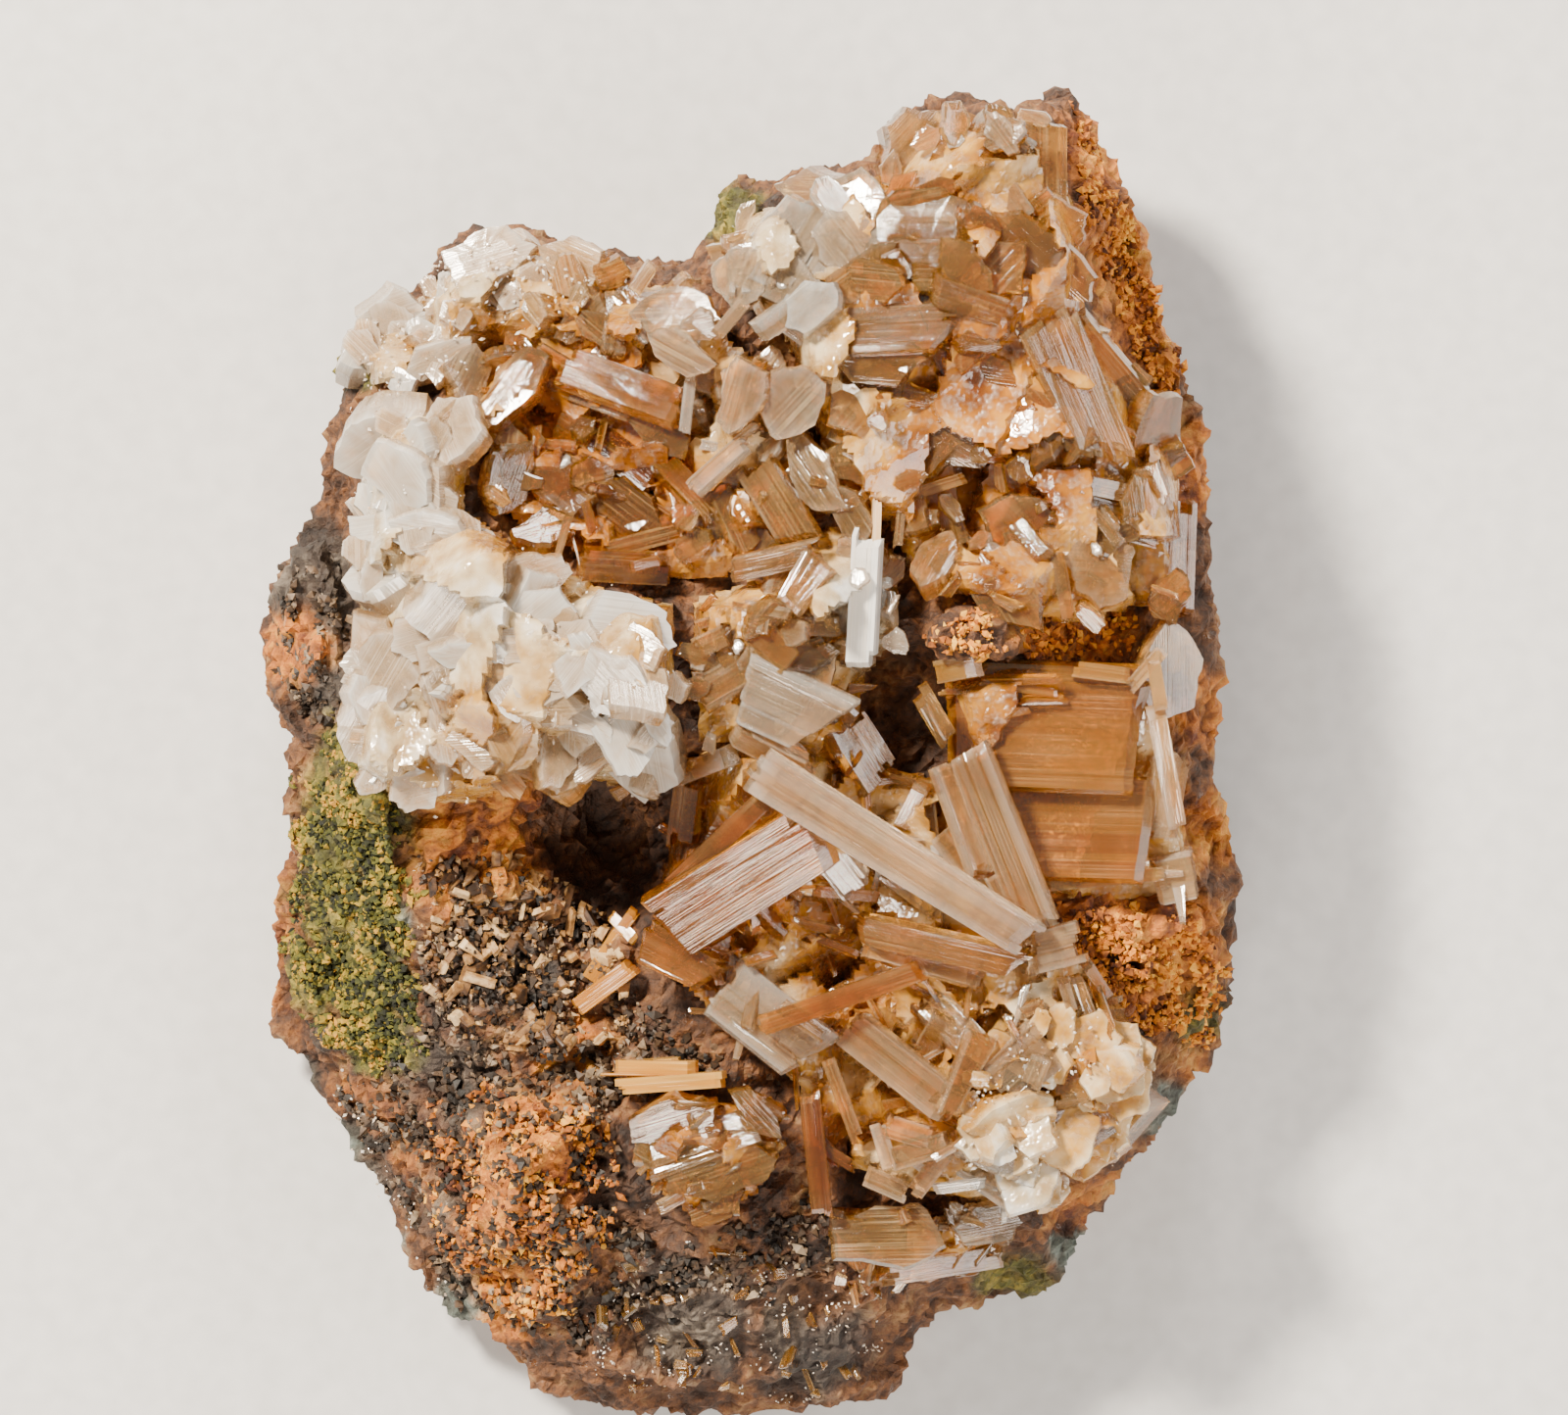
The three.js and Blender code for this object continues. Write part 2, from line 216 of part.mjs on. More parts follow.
const JACKSTRAW_BED = [
  [-2.6, 0.2], [0.8, 1.0], [4.6, 0.0], [8.4, -0.8], [10.6, -2.2], [12.4, -5.6], [13.6, -8], [15.6, -10.6],
  [16.4, -13], [14.4, -16.6], [11.8, -18.4], [8.6, -18.4], [5.2, -17.4], [2.6, -16.4], [2.0, -13.6],
  [-1.2, -10.8], [-4.2, -8.2], [-3.6, -4.4],
];

const AMBER_BLADES = [
  [8.1, 1.6, 2.6, 16.1, 1.1, 2.6, 4.0, 1.5, 12, 1, 0.4], [10.9, -2.4, 1.8, 15.9, -2.6, 1.8, 2.8, 1.1, 5],
  [7.4, 3.5, 3.2, 9.0, 3.8, 3.4, 1.0, 0.9, 0], [13.3, 3.7, 3.4, 15.7, 3.4, 3.4, 0.7, 0.7, 0],
  [14.3, -3.9, 2.4, 15.5, -3.6, 2.6, 0.7, 0.6, 0], [11.9, -5.2, 2.2, 17.3, -4.7, 2.8, 0.6, 0.7, 0],
  [16.7, -5.2, 2, 18.6, -4.8, 2, 2.0, 1.6, 10], [17.7, -5.0, 2.2, 17.9, -6.7, 1.8, 0.6, 0.6, 0, 0.4],
  [15.5, 2.8, 3.6, 17.1, 4.6, 3.8, 0.6, 0.7, 0], [16.5, 4.4, 4, 16.9, 2.0, 4, 0.6, 0.7, 0],
  [16.7, 1.9, 3.6, 17.7, -3.0, 3.2, 0.8, 0.8, 0], [16.9, -3.6, 1.6, 17.5, 0.2, 1.8, 1.6, 1.1, 20],
];
const AMBER_BED = [
  [7.9, 3.4], [12.5, 4.0], [15.6, 4.0], [17.4, 2.4], [17.9, -0.6], [18.1, -3.8], [18.6, -5.6], [15, -6.0],
  [11.6, -5.6], [10.8, -2.6], [8.7, -0.4],
];

const FAN_BLADES = [
  [-4.7, -15.6, 2.4, -1.3, -14.2, 2.6, 1.6, 1.1, 15], [-4.3, -16.6, 3, 0.3, -15.0, 3, 2.0, 1.3, -10, 0.8],
  [-3.3, -17.8, 3, 1.0, -16.4, 3, 2.0, 1.2, 12, 0.8], [-2.5, -19.0, 2, -0.1, -18.0, 2.4, 1.3, 1.0, 0],
  [-0.5, -13.8, 2.4, 1.3, -15.8, 3, 1.2, 0.9, 0],
];
const FAN_BED = [
  [-4.9, -15.6], [-2.4, -14.0], [0.9, -14.2], [1.4, -16.4], [0.4, -18.2], [-2.2, -19.2], [-4.3, -17.6],
];

const BOTTOM_BLADES = [
  [3.7, -19.8, 2.6, 8.1, -19.6, 3, 2.4, 1.0, -15, 0.8, 0.6], [8.4, -19.5, 2.4, 11.4, -19.3, 2.6, 1.5, 0.8, 15],
  [5.5, -21.5, 2.4, 10.7, -20.8, 3.2, 1.0, 0.8, 0], [3.6, -18.9, 2, 6.2, -20.6, 2, 1.3, 0.8, 20],
];
const BOTTOM_BED = [
  [3.7, -18.9], [7.4, -18.9], [10.8, -18.8], [11.0, -20.4], [8.2, -21.8], [5.3, -21.9], [3.7, -20.8],
];

const ROD_PAIR = [
  [-6.2, -12.8, 1.6, -2.3, -12.8, 1.8, 0.7, 0.8, 0], [-5.7, -13.6, 1.4, -0.9, -13.2, 1.8, 0.7, 0.8, 0],
  [-5.2, -13.2, 0.9, -2.6, -13.0, 1, 1.4, 0.9, 0],
];

const CAVITY_RODS = [
  [-7.2, -10.4, 0.9, -4.8, -8.6, 1.6, 0.8, 0.8, 0], [-5.8, -6.4, 1.6, -4.7, -7.5, 0.6, 0.5, 0.5, 0],
  [-5.5, -7.4, 0.6, -4.7, -6.3, 1.8, 0.5, 0.5, 0], [-6.6, -9.4, 0.4, -5.0, -7.0, 0.4, 1.0, 0.8, 0],
];

// Bare rock that shows: outline, lift, rings, foot level and roughness.
const CAVITY_FLOOR = [
  [-13.6, -2.6], [-10.4, -2.2], [-8.2, -3.2], [-6.2, -5.6], [-5.0, -8.2], [-4.8, -11.2], [-7.6, -12.6],
  [-11.0, -13.0], [-13.6, -11.6], [-14.6, -8.4], [-14.2, -5.2],
];
const MOSSY_FLANK = [
  [-15.0, -1.6], [-14.4, -5.4], [-13.8, -9.0], [-13.2, -12.6], [-15.6, -13.8], [-18.4, -12.2], [-19.4, -9.4],
  [-19.2, -6.4], [-18.6, -3.4], [-17.6, -1.4],
];
const ORANGE_FACE = [
  [-12.0, -13.6], [-9.0, -14.2], [-6.2, -14.2], [-5.6, -17.0], [-6.2, -20.2], [-7.6, -23.4], [-10.0, -23.6],
  [-12.4, -21.8], [-14.2, -18.2], [-14.0, -15.2],
];
const NODULE = [
  [-17.6, 9.0], [-16.8, 6.0], [-17.0, 2.8], [-18.8, 2.4], [-20.0, 4.4], [-19.6, 6.8], [-18.4, 8.8],
];
const OCHRE_FIELD = [
  [12.6, -6.2], [15.4, -6.4], [18.6, -6.4], [19.6, -8.6], [18.8, -11.4], [16.6, -11.6], [14.2, -9.4],
];
const PORE_LUMP = [
  [7.0, 4.9], [8.6, 6.2], [11.0, 5.9], [11.0, 4.3], [9.0, 3.9],
];
const DRUSE_FOOT = [
  [-5.6, -20.6], [-1.8, -20.2], [2.4, -20.8], [5.2, -22.4], [5.4, -25.2], [1.6, -26.4], [-3.4, -26.4],
  [-6.8, -25.4],
];
const BARE_PATCHES = [
  [CAVITY_FLOOR, 0.3, [0.25, 0.5, 0.75, 0.97], 3, 3], [MOSSY_FLANK, 0.4, [0.35, 0.7, 0.97], 2, 2],
  [ORANGE_FACE, 0.6, [0.35, 0.7, 0.97], 2, 1.4], [NODULE, 0.9, [0.5, 0.97], 6, 0.8],
  [OCHRE_FIELD, 0.4, [0.5, 0.97], 5, 1.6], [PORE_LUMP, 1.6, [0.6, 0.97], 8, 0.6],
  [DRUSE_FOOT, 0.5, [0.5, 0.97], 2, 1.4],
];

const COLOURS = {
  rock: 0xa9682f,
  white: 0xe9e6df,
  knob: 0xcfc7b2,
  honey: 0xdca76f,
  peach: 0xe0b48c,
  pale: 0xe6d5c0,
  amber: 0xc98a52,
  clear: 0xd5cfc6,
};

// Smooth height of the matrix's face at a point, held by the heights around it.
function groundAt(x, y) {
  let sum = 0;
  let total = 0;
  for (const [hx, hy, height] of HEIGHTS) {
    const d2 = (x - hx) ** 2 + (y - hy) ** 2;
    const weight = 1 / (d2 + 0.35) ** 2;
    sum += weight * height;
    total += weight;
  }
  return sum / total;
}

// Repeatable value between -1 and 1 for a place on the stone.
function grain(x, y) {
  const wave = Math.sin(x * 12.9898 + y * 78.233) * 43758.5453;
  return 2 * (wave - Math.floor(wave)) - 1;
}

// Every second point of a full ring.
function halved(ring) {
  return ring.filter((point, index) => index % 2 === 0);
}

// One ring of the matrix's face, a fraction of the way out to the rim.
function faceRing(fraction, grow) {
  return OUTLINE.map(([x, y]) => {
    const size = Math.hypot(x, y);
    const out = fraction < 1 ? fraction : 1 + grow / size;
    const rough = ROCK_ROUGHNESS * grain(x * fraction, y * fraction);
    const height = groundAt(x * fraction, y * fraction) + rough + grow;
    return [x * out, y * out, height];
  });
}

// One ring of the flank below the rim.
function flankRing(share, height, grow, step) {
  return OUTLINE.map(([x, y], index) => {
    const size = Math.hypot(x, y);
    const out = (share + 0.012 * grain(x + step, y - step)) * (1 + grow / size);
    const rim = groundAt(x, y);
    return [x * out, y * out, rim * height - (height === 0 ? grow : 0)];
  });
}

// Triangles between two rings with the same number of points.
function band(triangles, inner, outer, count) {
  for (let i = 0; i < count; i += 1) {
    const next = (i + 1) % count;
    triangles.push([inner + i, outer + i, outer + next]);
    triangles.push([inner + i, outer + next, inner + next]);
  }
}

// Triangles between a ring and one that has twice its points.
function widening(triangles, coarse, fine, count, flip) {
  for (let i = 0; i < count; i += 1) {
    const next = (i + 1) % count;
    const near = fine + 2 * i;
    const far = fine + ((2 * i + 2) % (2 * count));
    const faces = [
      [coarse + i, near, near + 1],
      [coarse + i, near + 1, coarse + next],
      [coarse + next, near + 1, far],
    ];
    faces.forEach((face) => triangles.push(flip ? face.slice().reverse() : face));
  }
}

// A closed solid from points and triangles.
function solidFrom(points, triangles) {
  const mesh = new wasm.Mesh({
    numProp: 3,
    vertProperties: new Float32Array(points.flat()),
    triVerts: new Uint32Array(triangles.flat()),
  });
  return new wasm.Manifold(mesh);
}

// The rock: a rough face with plateau and hollows, a flank and a flat broken back.
function stoneBody(grow) {
  const points = [[0, 0, groundAt(0, 0) + grow]];
  const triangles = [];
  const rings = [];
  const add = (ring) => {
    rings.push({ start: points.length, count: ring.length });
    points.push(...ring);
  };
  INNER_RINGS.forEach((fraction) => add(halved(halved(faceRing(fraction, grow)))));
  MIDDLE_RINGS.forEach((fraction) => add(halved(faceRing(fraction, grow))));
  add(faceRing(1, grow));
  add(halved(flankRing(WAIST_INSET, 0.5, grow, 1)));
  add(halved(flankRing(BACK_INSET, 0, grow, 3)));
  const first = rings[0];
  const back = rings[rings.length - 1];
  points.push([0, 0, -grow]);
  const centre = points.length - 1;
  for (let i = 0; i < first.count; i += 1) {
    triangles.push([0, first.start + i, first.start + ((i + 1) % first.count)]);
  }
  for (let i = 1; i < rings.length; i += 1) {
    const inner = rings[i - 1];
    const outer = rings[i];
    if (inner.count === outer.count) {
      band(triangles, inner.start, outer.start, inner.count);
    } else if (inner.count < outer.count) {
      widening(triangles, inner.start, outer.start, inner.count, false);
    } else {
      widening(triangles, outer.start, inner.start, outer.count, true);
    }
  }
  for (let i = 0; i < back.count; i += 1) {
    triangles.push([centre, back.start + ((i + 1) % back.count), back.start + i]);
  }
  return solidFrom(points, triangles.map(([a, b, c]) => [a, c, b]));
}

// The stone with the finer lumps of its bare patches.
function matrixSolid(grow) {
  return BARE_PATCHES.reduce((solid, row) => solid.add(bed(row, grow)), stoneBody(grow));
}

// A tabular crystal with bevelled long edges between two points.
function blade(row, grow) {
  const [ax, ay, liftA, bx, by, liftB, width, thick, roll = 0, taper = 1, slant = 0] = row;
  const start = new THREE.Vector3(ax, ay, groundAt(ax, ay) + LIFT_SCALE * liftA);
  const end = new THREE.Vector3(bx, by, groundAt(bx, by) + LIFT_SCALE * liftB);
  const along = end.clone().sub(start).normalize();
  const side = new THREE.Vector3(0, 0, 1).cross(along).normalize();
  side.applyAxisAngle(along, THREE.MathUtils.degToRad(roll));
  const face = along.clone().cross(side);
  start.addScaledVector(along, -grow);
  end.addScaledVector(along, grow);
  const w = width / 2 + grow;
  const t = thick / 2 + grow;
  const section = [[1, -1], [BEVEL, 1], [-BEVEL, 1], [-1, -1]];
  const corner = (origin, [u, v], scale, lean) => origin.clone()
    .addScaledVector(side, u * w * scale)
    .addScaledVector(face, v * t - t)
    .addScaledVector(along, lean * u)
    .toArray();
  const points = [
    ...section.map((place) => corner(start, place, 1, -slant / 2)),
    ...section.map((place) => corner(end, place, taper, slant)),
  ];
  const triangles = [];
  for (let i = 0; i < 4; i += 1) {
    const next = (i + 1) % 4;
    triangles.push([i, next, next + 4], [i, next + 4, i + 4]);
  }
  triangles.push([0, 2, 1], [0, 3, 2], [4, 5, 6], [4, 6, 7]);
  return solidFrom(points, triangles);
}

// The crust that a group of crystals stands on: rough on top, with its foot at a flat level.
function bed([outline, lift, rings, level, rough = 0.3], grow) {
  const count = outline.length;
  const middle = outline.reduce(([x, y], [px, py]) => [x + px / count, y + py / count], [0, 0]);
  const triangles = [];
  const place = (fraction, over) => outline.map(([px, py]) => {
    const x = middle[0] + (px - middle[0]) * fraction;
    const y = middle[1] + (py - middle[1]) * fraction;
    const out = 1 + grow / Math.hypot(x - middle[0], y - middle[1]);
    return [middle[0] + (x - middle[0]) * out, middle[1] + (y - middle[1]) * out, over(x, y)];
  });
  const top = (x, y) => groundAt(x, y) + lift * (1 + rough * grain(x, y)) + grow;
  const points = [[middle[0], middle[1], top(...middle)]];
  rings.forEach((fraction) => points.push(...place(fraction, top)));
  points.push(...place(1, () => level - grow));
  points.push([middle[0], middle[1], level - grow]);
  const last = points.length - 1;
  for (let i = 0; i < count; i += 1) {
    const next = (i + 1) % count;
    triangles.push([0, 1 + i, 1 + next], [last, last - count + next, last - count + i]);
  }
  rings.forEach((fraction, ring) => band(triangles, 1 + ring * count, 1 + (ring + 1) * count, count));
  return solidFrom(points, triangles.map(([a, b, c]) => [a, c, b]));
}

// A growth of crystals on its crust, in one solid.
function growth(part, grow) {
  const large = ([ax, ay, , bx, by, , width]) => Math.hypot(bx - ax, by - ay) * width > LEAST_FACE;
  const kept = part.beds.length > 0 ? part.blades.filter(large) : part.blades;
  const pieces = kept.map((row) => blade(row, grow));
  part.beds.forEach((row) => pieces.push(bed(row, grow)));
  return pieces.reduce((solid, piece) => solid.add(piece));
}

// The largest connected body of a solid, on its outer skin.
function largest(solid) {
  const best = solid.decompose().reduce((kept, piece) => (piece.volume() > kept.volume() ? piece : kept));
  const data = best.getMesh();
  const again = solidFrom([Array.from(data.vertProperties)], [Array.from(data.triVerts)]);
  return again.decompose().reduce((kept, piece) => (piece.volume() > kept.volume() ? piece : kept));
}

// Growths in the order they lie on one another, each bed with its lift, rings and foot level.
const GROWTHS = [
  {
    name: 'blade_growth',
    blades: [...JACKSTRAW_BLADES, ...CENTRE_BLADES, ...RIDGE_BLADES, ...VUG_BLADES],
    beds: [
      [JACKSTRAW_BED, 2.3, [0.5, 0.98], 6], [CENTRE_BED, 2.6, [0.98], 9], [RIDGE_BED, 2.6, [0.5, 0.98], 9],
      [VUG_BED, 2.2, [0.55, 0.98], 9],
    ],
    colour: 'peach',
  },
  { name: 'white_crust', blades: WHITE_BLADES, beds: [[WHITE_BED, 2.6, [0.5, 0.98], 15.8]], colour: 'white' },
  { name: 'corner_crystals', blades: KNOB_BLADES, beds: [[KNOB_BED, 2.0, [0.98], 9]], colour: 'knob' },
  { name: 'amber_blades', blades: AMBER_BLADES, beds: [[AMBER_BED, 1.9, [0.98], 8]], colour: 'amber' },
  { name: 'lower_left_fan', blades: FAN_BLADES, beds: [[FAN_BED, 2.0, [0.98], 6]], colour: 'peach' },
  { name: 'bottom_blades', blades: BOTTOM_BLADES, beds: [[BOTTOM_BED, 1.9, [0.98], 5]], colour: 'clear' },
  { name: 'golden_rods', blades: ROD_PAIR, beds: [], colour: 'honey' },
  { name: 'cavity_rods', blades: CAVITY_RODS, beds: [], colour: 'honey' },
];

// A merged geometry without the triangles that have shrunk to an edge.
function withoutSlivers(geometry) {
  const corners = geometry.index.array;
  const kept = [];
  for (let i = 0; i < corners.length; i += 3) {
    const [a, b, c] = corners.slice(i, i + 3);
    if (a !== b && b !== c && c !== a) {
      kept.push(a, b, c);
    }
  }
  geometry.setIndex(kept);
  return geometry;
}

// Mesh of a solid in its plain colour.
function meshOf(name, solid, colour, roughness) {
  const data = solid.getMesh();
  const geometry = new THREE.BufferGeometry();
  const positions = new Float32Array(data.numVert * 3);
  for (let i = 0; i < data.numVert; i += 1) {
    const corner = data.vertProperties.subarray(i * data.numProp, i * data.numProp + 3);
    positions.set(corner.map((value) => Math.round(value / CORNER_STEP) * CORNER_STEP), i * 3);
  }
  geometry.setAttribute('position', new THREE.BufferAttribute(positions, 3));
  geometry.setIndex(new THREE.BufferAttribute(new Uint32Array(data.triVerts), 1));
  const merged = withoutSlivers(mergeVertices(geometry, 0.1 * CORNER_STEP));
  merged.computeVertexNormals();
  const material = new THREE.MeshStandardMaterial({ color: colour, roughness, metalness: 0, flatShading: true });
  const mesh = new THREE.Mesh(merged, material);
  mesh.name = name;
  return mesh;
}

function buildSpecimen() {
  const group = new THREE.Group();
  group.name = 'cerussite_on_matrix';
  const rock = matrixSolid(0);
  const cutters = [matrixSolid(GAP)];
  group.add(meshOf('matrix', rock, COLOURS.rock, 0.9));
  GROWTHS.forEach((part) => {
    let solid = growth(part, 0);
    cutters.forEach((cutter) => {
      solid = solid.subtract(cutter);
    });
    group.add(meshOf(part.name, largest(solid), COLOURS[part.colour], 0.25));
    cutters.push(growth(part, GAP));
  });
  return group;
}

export default buildSpecimen();
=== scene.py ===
import math
import random

import bpy
import numpy as np
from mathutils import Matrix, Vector, noise
from mathutils.bvhtree import BVHTree


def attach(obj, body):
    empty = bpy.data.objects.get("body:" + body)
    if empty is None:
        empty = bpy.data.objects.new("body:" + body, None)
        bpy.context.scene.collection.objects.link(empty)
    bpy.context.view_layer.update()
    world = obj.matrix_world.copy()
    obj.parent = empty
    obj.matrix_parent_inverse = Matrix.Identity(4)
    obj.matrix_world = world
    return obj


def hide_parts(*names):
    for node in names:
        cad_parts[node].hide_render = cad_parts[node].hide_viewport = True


# One millimetre, in metres. Every length below is in millimetres until a mesh is made.
MM = 0.001

# Share of each crystal's lift over the rock that is used, as in the solids.
LIFT_SCALE = 0.82

# Voxel of the rock's surface, and the step of the crusts' surfaces.
ROCK_VOXEL = 0.3
CRUST_STEP = 0.22

# Width of one lengthwise step on a blade.
STRIP = 0.2

# How far grains may stray from the box of their outline.
GRAIN_MARGIN = 0.6

# The highest point of any crust, over the base.
TOP = 23.7

# Crystals: start x, y, lift over the rock; end x, y, lift; width; thickness; roll; end taper; end slant.
WHITE_BLADES = [
    [-16.3, 11.0, 3, -13.7, 14.3, 3.5, 3.2, 1.6, 15], [-15.6, 10.0, 4, -12.9, 13.2, 5, 2.6, 1.5, -20],
    [-12.9, 14.8, 3, -11.3, 12.2, 5, 2.4, 0.9, 10], [-16.4, 9.0, 2.8, -13.5, 7.0, 4.5, 2.8, 1.4, -15],
    [-13.3, 4.2, 4, -11.3, 7.8, 5.5, 2.4, 1.6, 20, 0.7], [-15.9, 2.2, 3, -13.3, 5.0, 4.5, 2.4, 1.3, -10],
    [-15.9, -0.4, 2.8, -14.7, 3.0, 3.5, 2.0, 1.3, 15],
    [-12.5, -0.6, 2.8, -8.9, 2.2, 3.8, 2.6, 1.0, -12, 1, 0.6],
    [-12.7, 3.8, 4.4, -10.0, 4.7, 4.4, 1.2, 1.0, 25], [-7.1, 5.0, 4, -3.0, 4.8, 3.5, 3.0, 1.8, -8, 1, 0.8],
    [-8.7, 2.6, 3.6, -5.9, 5.4, 4.4, 2.4, 1.5, -18], [-3.8, 3.0, 3.5, -5.3, -2.8, 6, 3.0, 1.2, 10, 0.7, 1.2],
    [-10.3, 6.9, 3.7, -7.3, 7.6, 4, 1.9, 1.2, 14], [-7.8, 0.3, 2.8, -6.5, 2.4, 3.5, 2.2, 1.1, -20],
    [-14.7, 12.0, 4, -12.0, 10.2, 5, 2.2, 1.2, 22], [-13.9, -1.7, 2.4, -12.2, 0.4, 3.2, 1.8, 1.0, -20],
]
WHITE_BED = [
    [-15.9, 13.0], [-13.5, 14.6], [-11.4, 14.2], [-11.2, 12.0], [-11.5, 10.3], [-8.8, 8.4], [-5.6, 7.0],
    [-2.9, 6.4], [-2.9, 3.0], [-3.6, 0], [-4.9, -1.6], [-6.3, -1.0], [-8.6, -1.0], [-11, -1.8],
    [-13.5, -2.0], [-14.9, -1.4], [-16.2, -0.4], [-16.0, 3.6], [-16.0, 7], [-16.2, 10.2],
]

KNOB_BLADES = [
    [-16.1, 15.8, 1.5, -14.5, 19.0, 2, 2.4, 2.0, 0],
    [-12.5, 20.2, 2.2, -9.1, 21.2, 2.6, 2.0, 0.9, -10, 1, 0.8],
    [-13.3, 19.8, 2.4, -11.5, 18.6, 2.6, 1.1, 0.8, 15], [-10.1, 21.8, 1.6, -9.0, 21.1, 1.8, 0.8, 0.7, 0],
    [-8.5, 20.8, 2, -5.9, 19.8, 2.4, 1.7, 0.8, 10], [-9.4, 19.0, 2.4, -8.2, 18.0, 3, 1.1, 0.9, 20],
    [-13.9, 15.8, 2.2, -11.5, 17.0, 2.6, 1.2, 0.7, 20], [-15.9, 17.9, 1.6, -13.4, 18.6, 2, 1.9, 1.6, 18],
]
KNOB_BED = [
    [-16.2, 16.4], [-15.8, 17.9], [-14.2, 18.9], [-12.4, 20.2], [-9.4, 21.3], [-6.4, 20.2], [-6.0, 19.0],
    [-8.6, 17.6], [-11.6, 16.4], [-13.4, 15.4], [-15.4, 15.2],
]

VUG_BLADES = [
    [-12.0, 14.6, 2, -10.5, 16.6, 3, 2.0, 0.8, 20], [-10.7, 13.8, 3, -8.7, 16.8, 3.5, 1.8, 0.8, -25],
    [-10.1, 17.2, 2.4, -8.1, 15.2, 3.2, 1.3, 0.7, 15], [-5.4, 16.6, 3.4, -5.4, 20.3, 2.8, 1.0, 0.7, 15],
    [-4.8, 18.3, 3, -1.3, 18.1, 3, 1.7, 0.8, -12, 1, 0.7], [-2.7, 17.2, 3.4, -1.3, 17.8, 3.4, 1.2, 0.6, 20],
    [-4.0, 17.2, 4.2, -1.6, 15.9, 5, 1.3, 0.8, 10, 0.5], [-2.3, 15.8, 4.2, -2.6, 13.2, 4.4, 0.5, 0.5, 0],
    [-7.8, 16.3, 4, -2.7, 14.4, 5, 1.7, 0.9, -15], [-7.5, 15.2, 3.2, -4.9, 14.2, 3.8, 0.9, 0.6, 10],
    [-7.9, 17.2, 2, -5.9, 19.2, 2.6, 2.0, 1.3, 0], [0.1, 16.4, 4, -0.8, 13.6, 4.6, 1.8, 0.8, 15, 0.8, 0.6],
    [2.9, 15.6, 4, 0.9, 13.4, 4.2, 2.2, 0.9, -10], [0.4, 13.5, 4.4, -2.4, 11.0, 5, 0.8, 0.6, 25],
    [-0.1, 12.4, 3.4, 2.1, 8.8, 3, 1.7, 0.9, 15, 1, 0.6], [-0.8, 11.0, 2.6, 0.1, 8.6, 2.2, 1.5, 0.8, -20],
    [-2.2, 10.3, 4, -2.9, 9.5, 4.2, 1.0, 0.6, 0, 0.4], [-1.5, 9.2, 3, -3.0, 8.2, 2.4, 1.2, 0.8, 0],
    [-6.0, 8.4, 1.6, -2.6, 9.3, 2.4, 0.7, 0.6, 10], [-6.8, 7.9, 1.8, -2.9, 7.7, 1.8, 1.4, 0.8, 12],
    [-10.5, 10.2, 1.5, -8.9, 13.0, 3, 1.7, 0.7, 30], [-8.7, 12.6, 2, -6.5, 10.2, 2.4, 1.9, 0.8, -15],
    [-8.1, 13.8, 2.4, -4.9, 11.8, 2.4, 1.2, 0.7, 20], [-6.5, 13.4, 2.4, -3.3, 11.0, 2.6, 1.6, 0.8, -20],
    [-6.1, 11.0, 2, -3.7, 9.2, 1.8, 1.8, 0.8, 15], [-4.9, 13.8, 2.8, -2.5, 12.8, 3, 1.3, 0.7, 10],
    [-9.5, 9.0, 1.8, -6.9, 10.2, 2, 1.5, 0.8, -25], [-3.6, 12.4, 3, -1.2, 9.9, 3.4, 1.1, 0.7, -18],
]
VUG_BED = [
    [-11.4, 14.8], [-10.4, 17.0], [-8, 19.4], [-5, 20.2], [-2.2, 19.2], [-0.6, 17.2], [1.6, 15.8], [2.9, 13],
    [3, 10], [1.4, 8.2], [-1.2, 7.2], [-5, 7.6], [-8.6, 9.0], [-10.9, 10.6], [-10.7, 12.6],
]

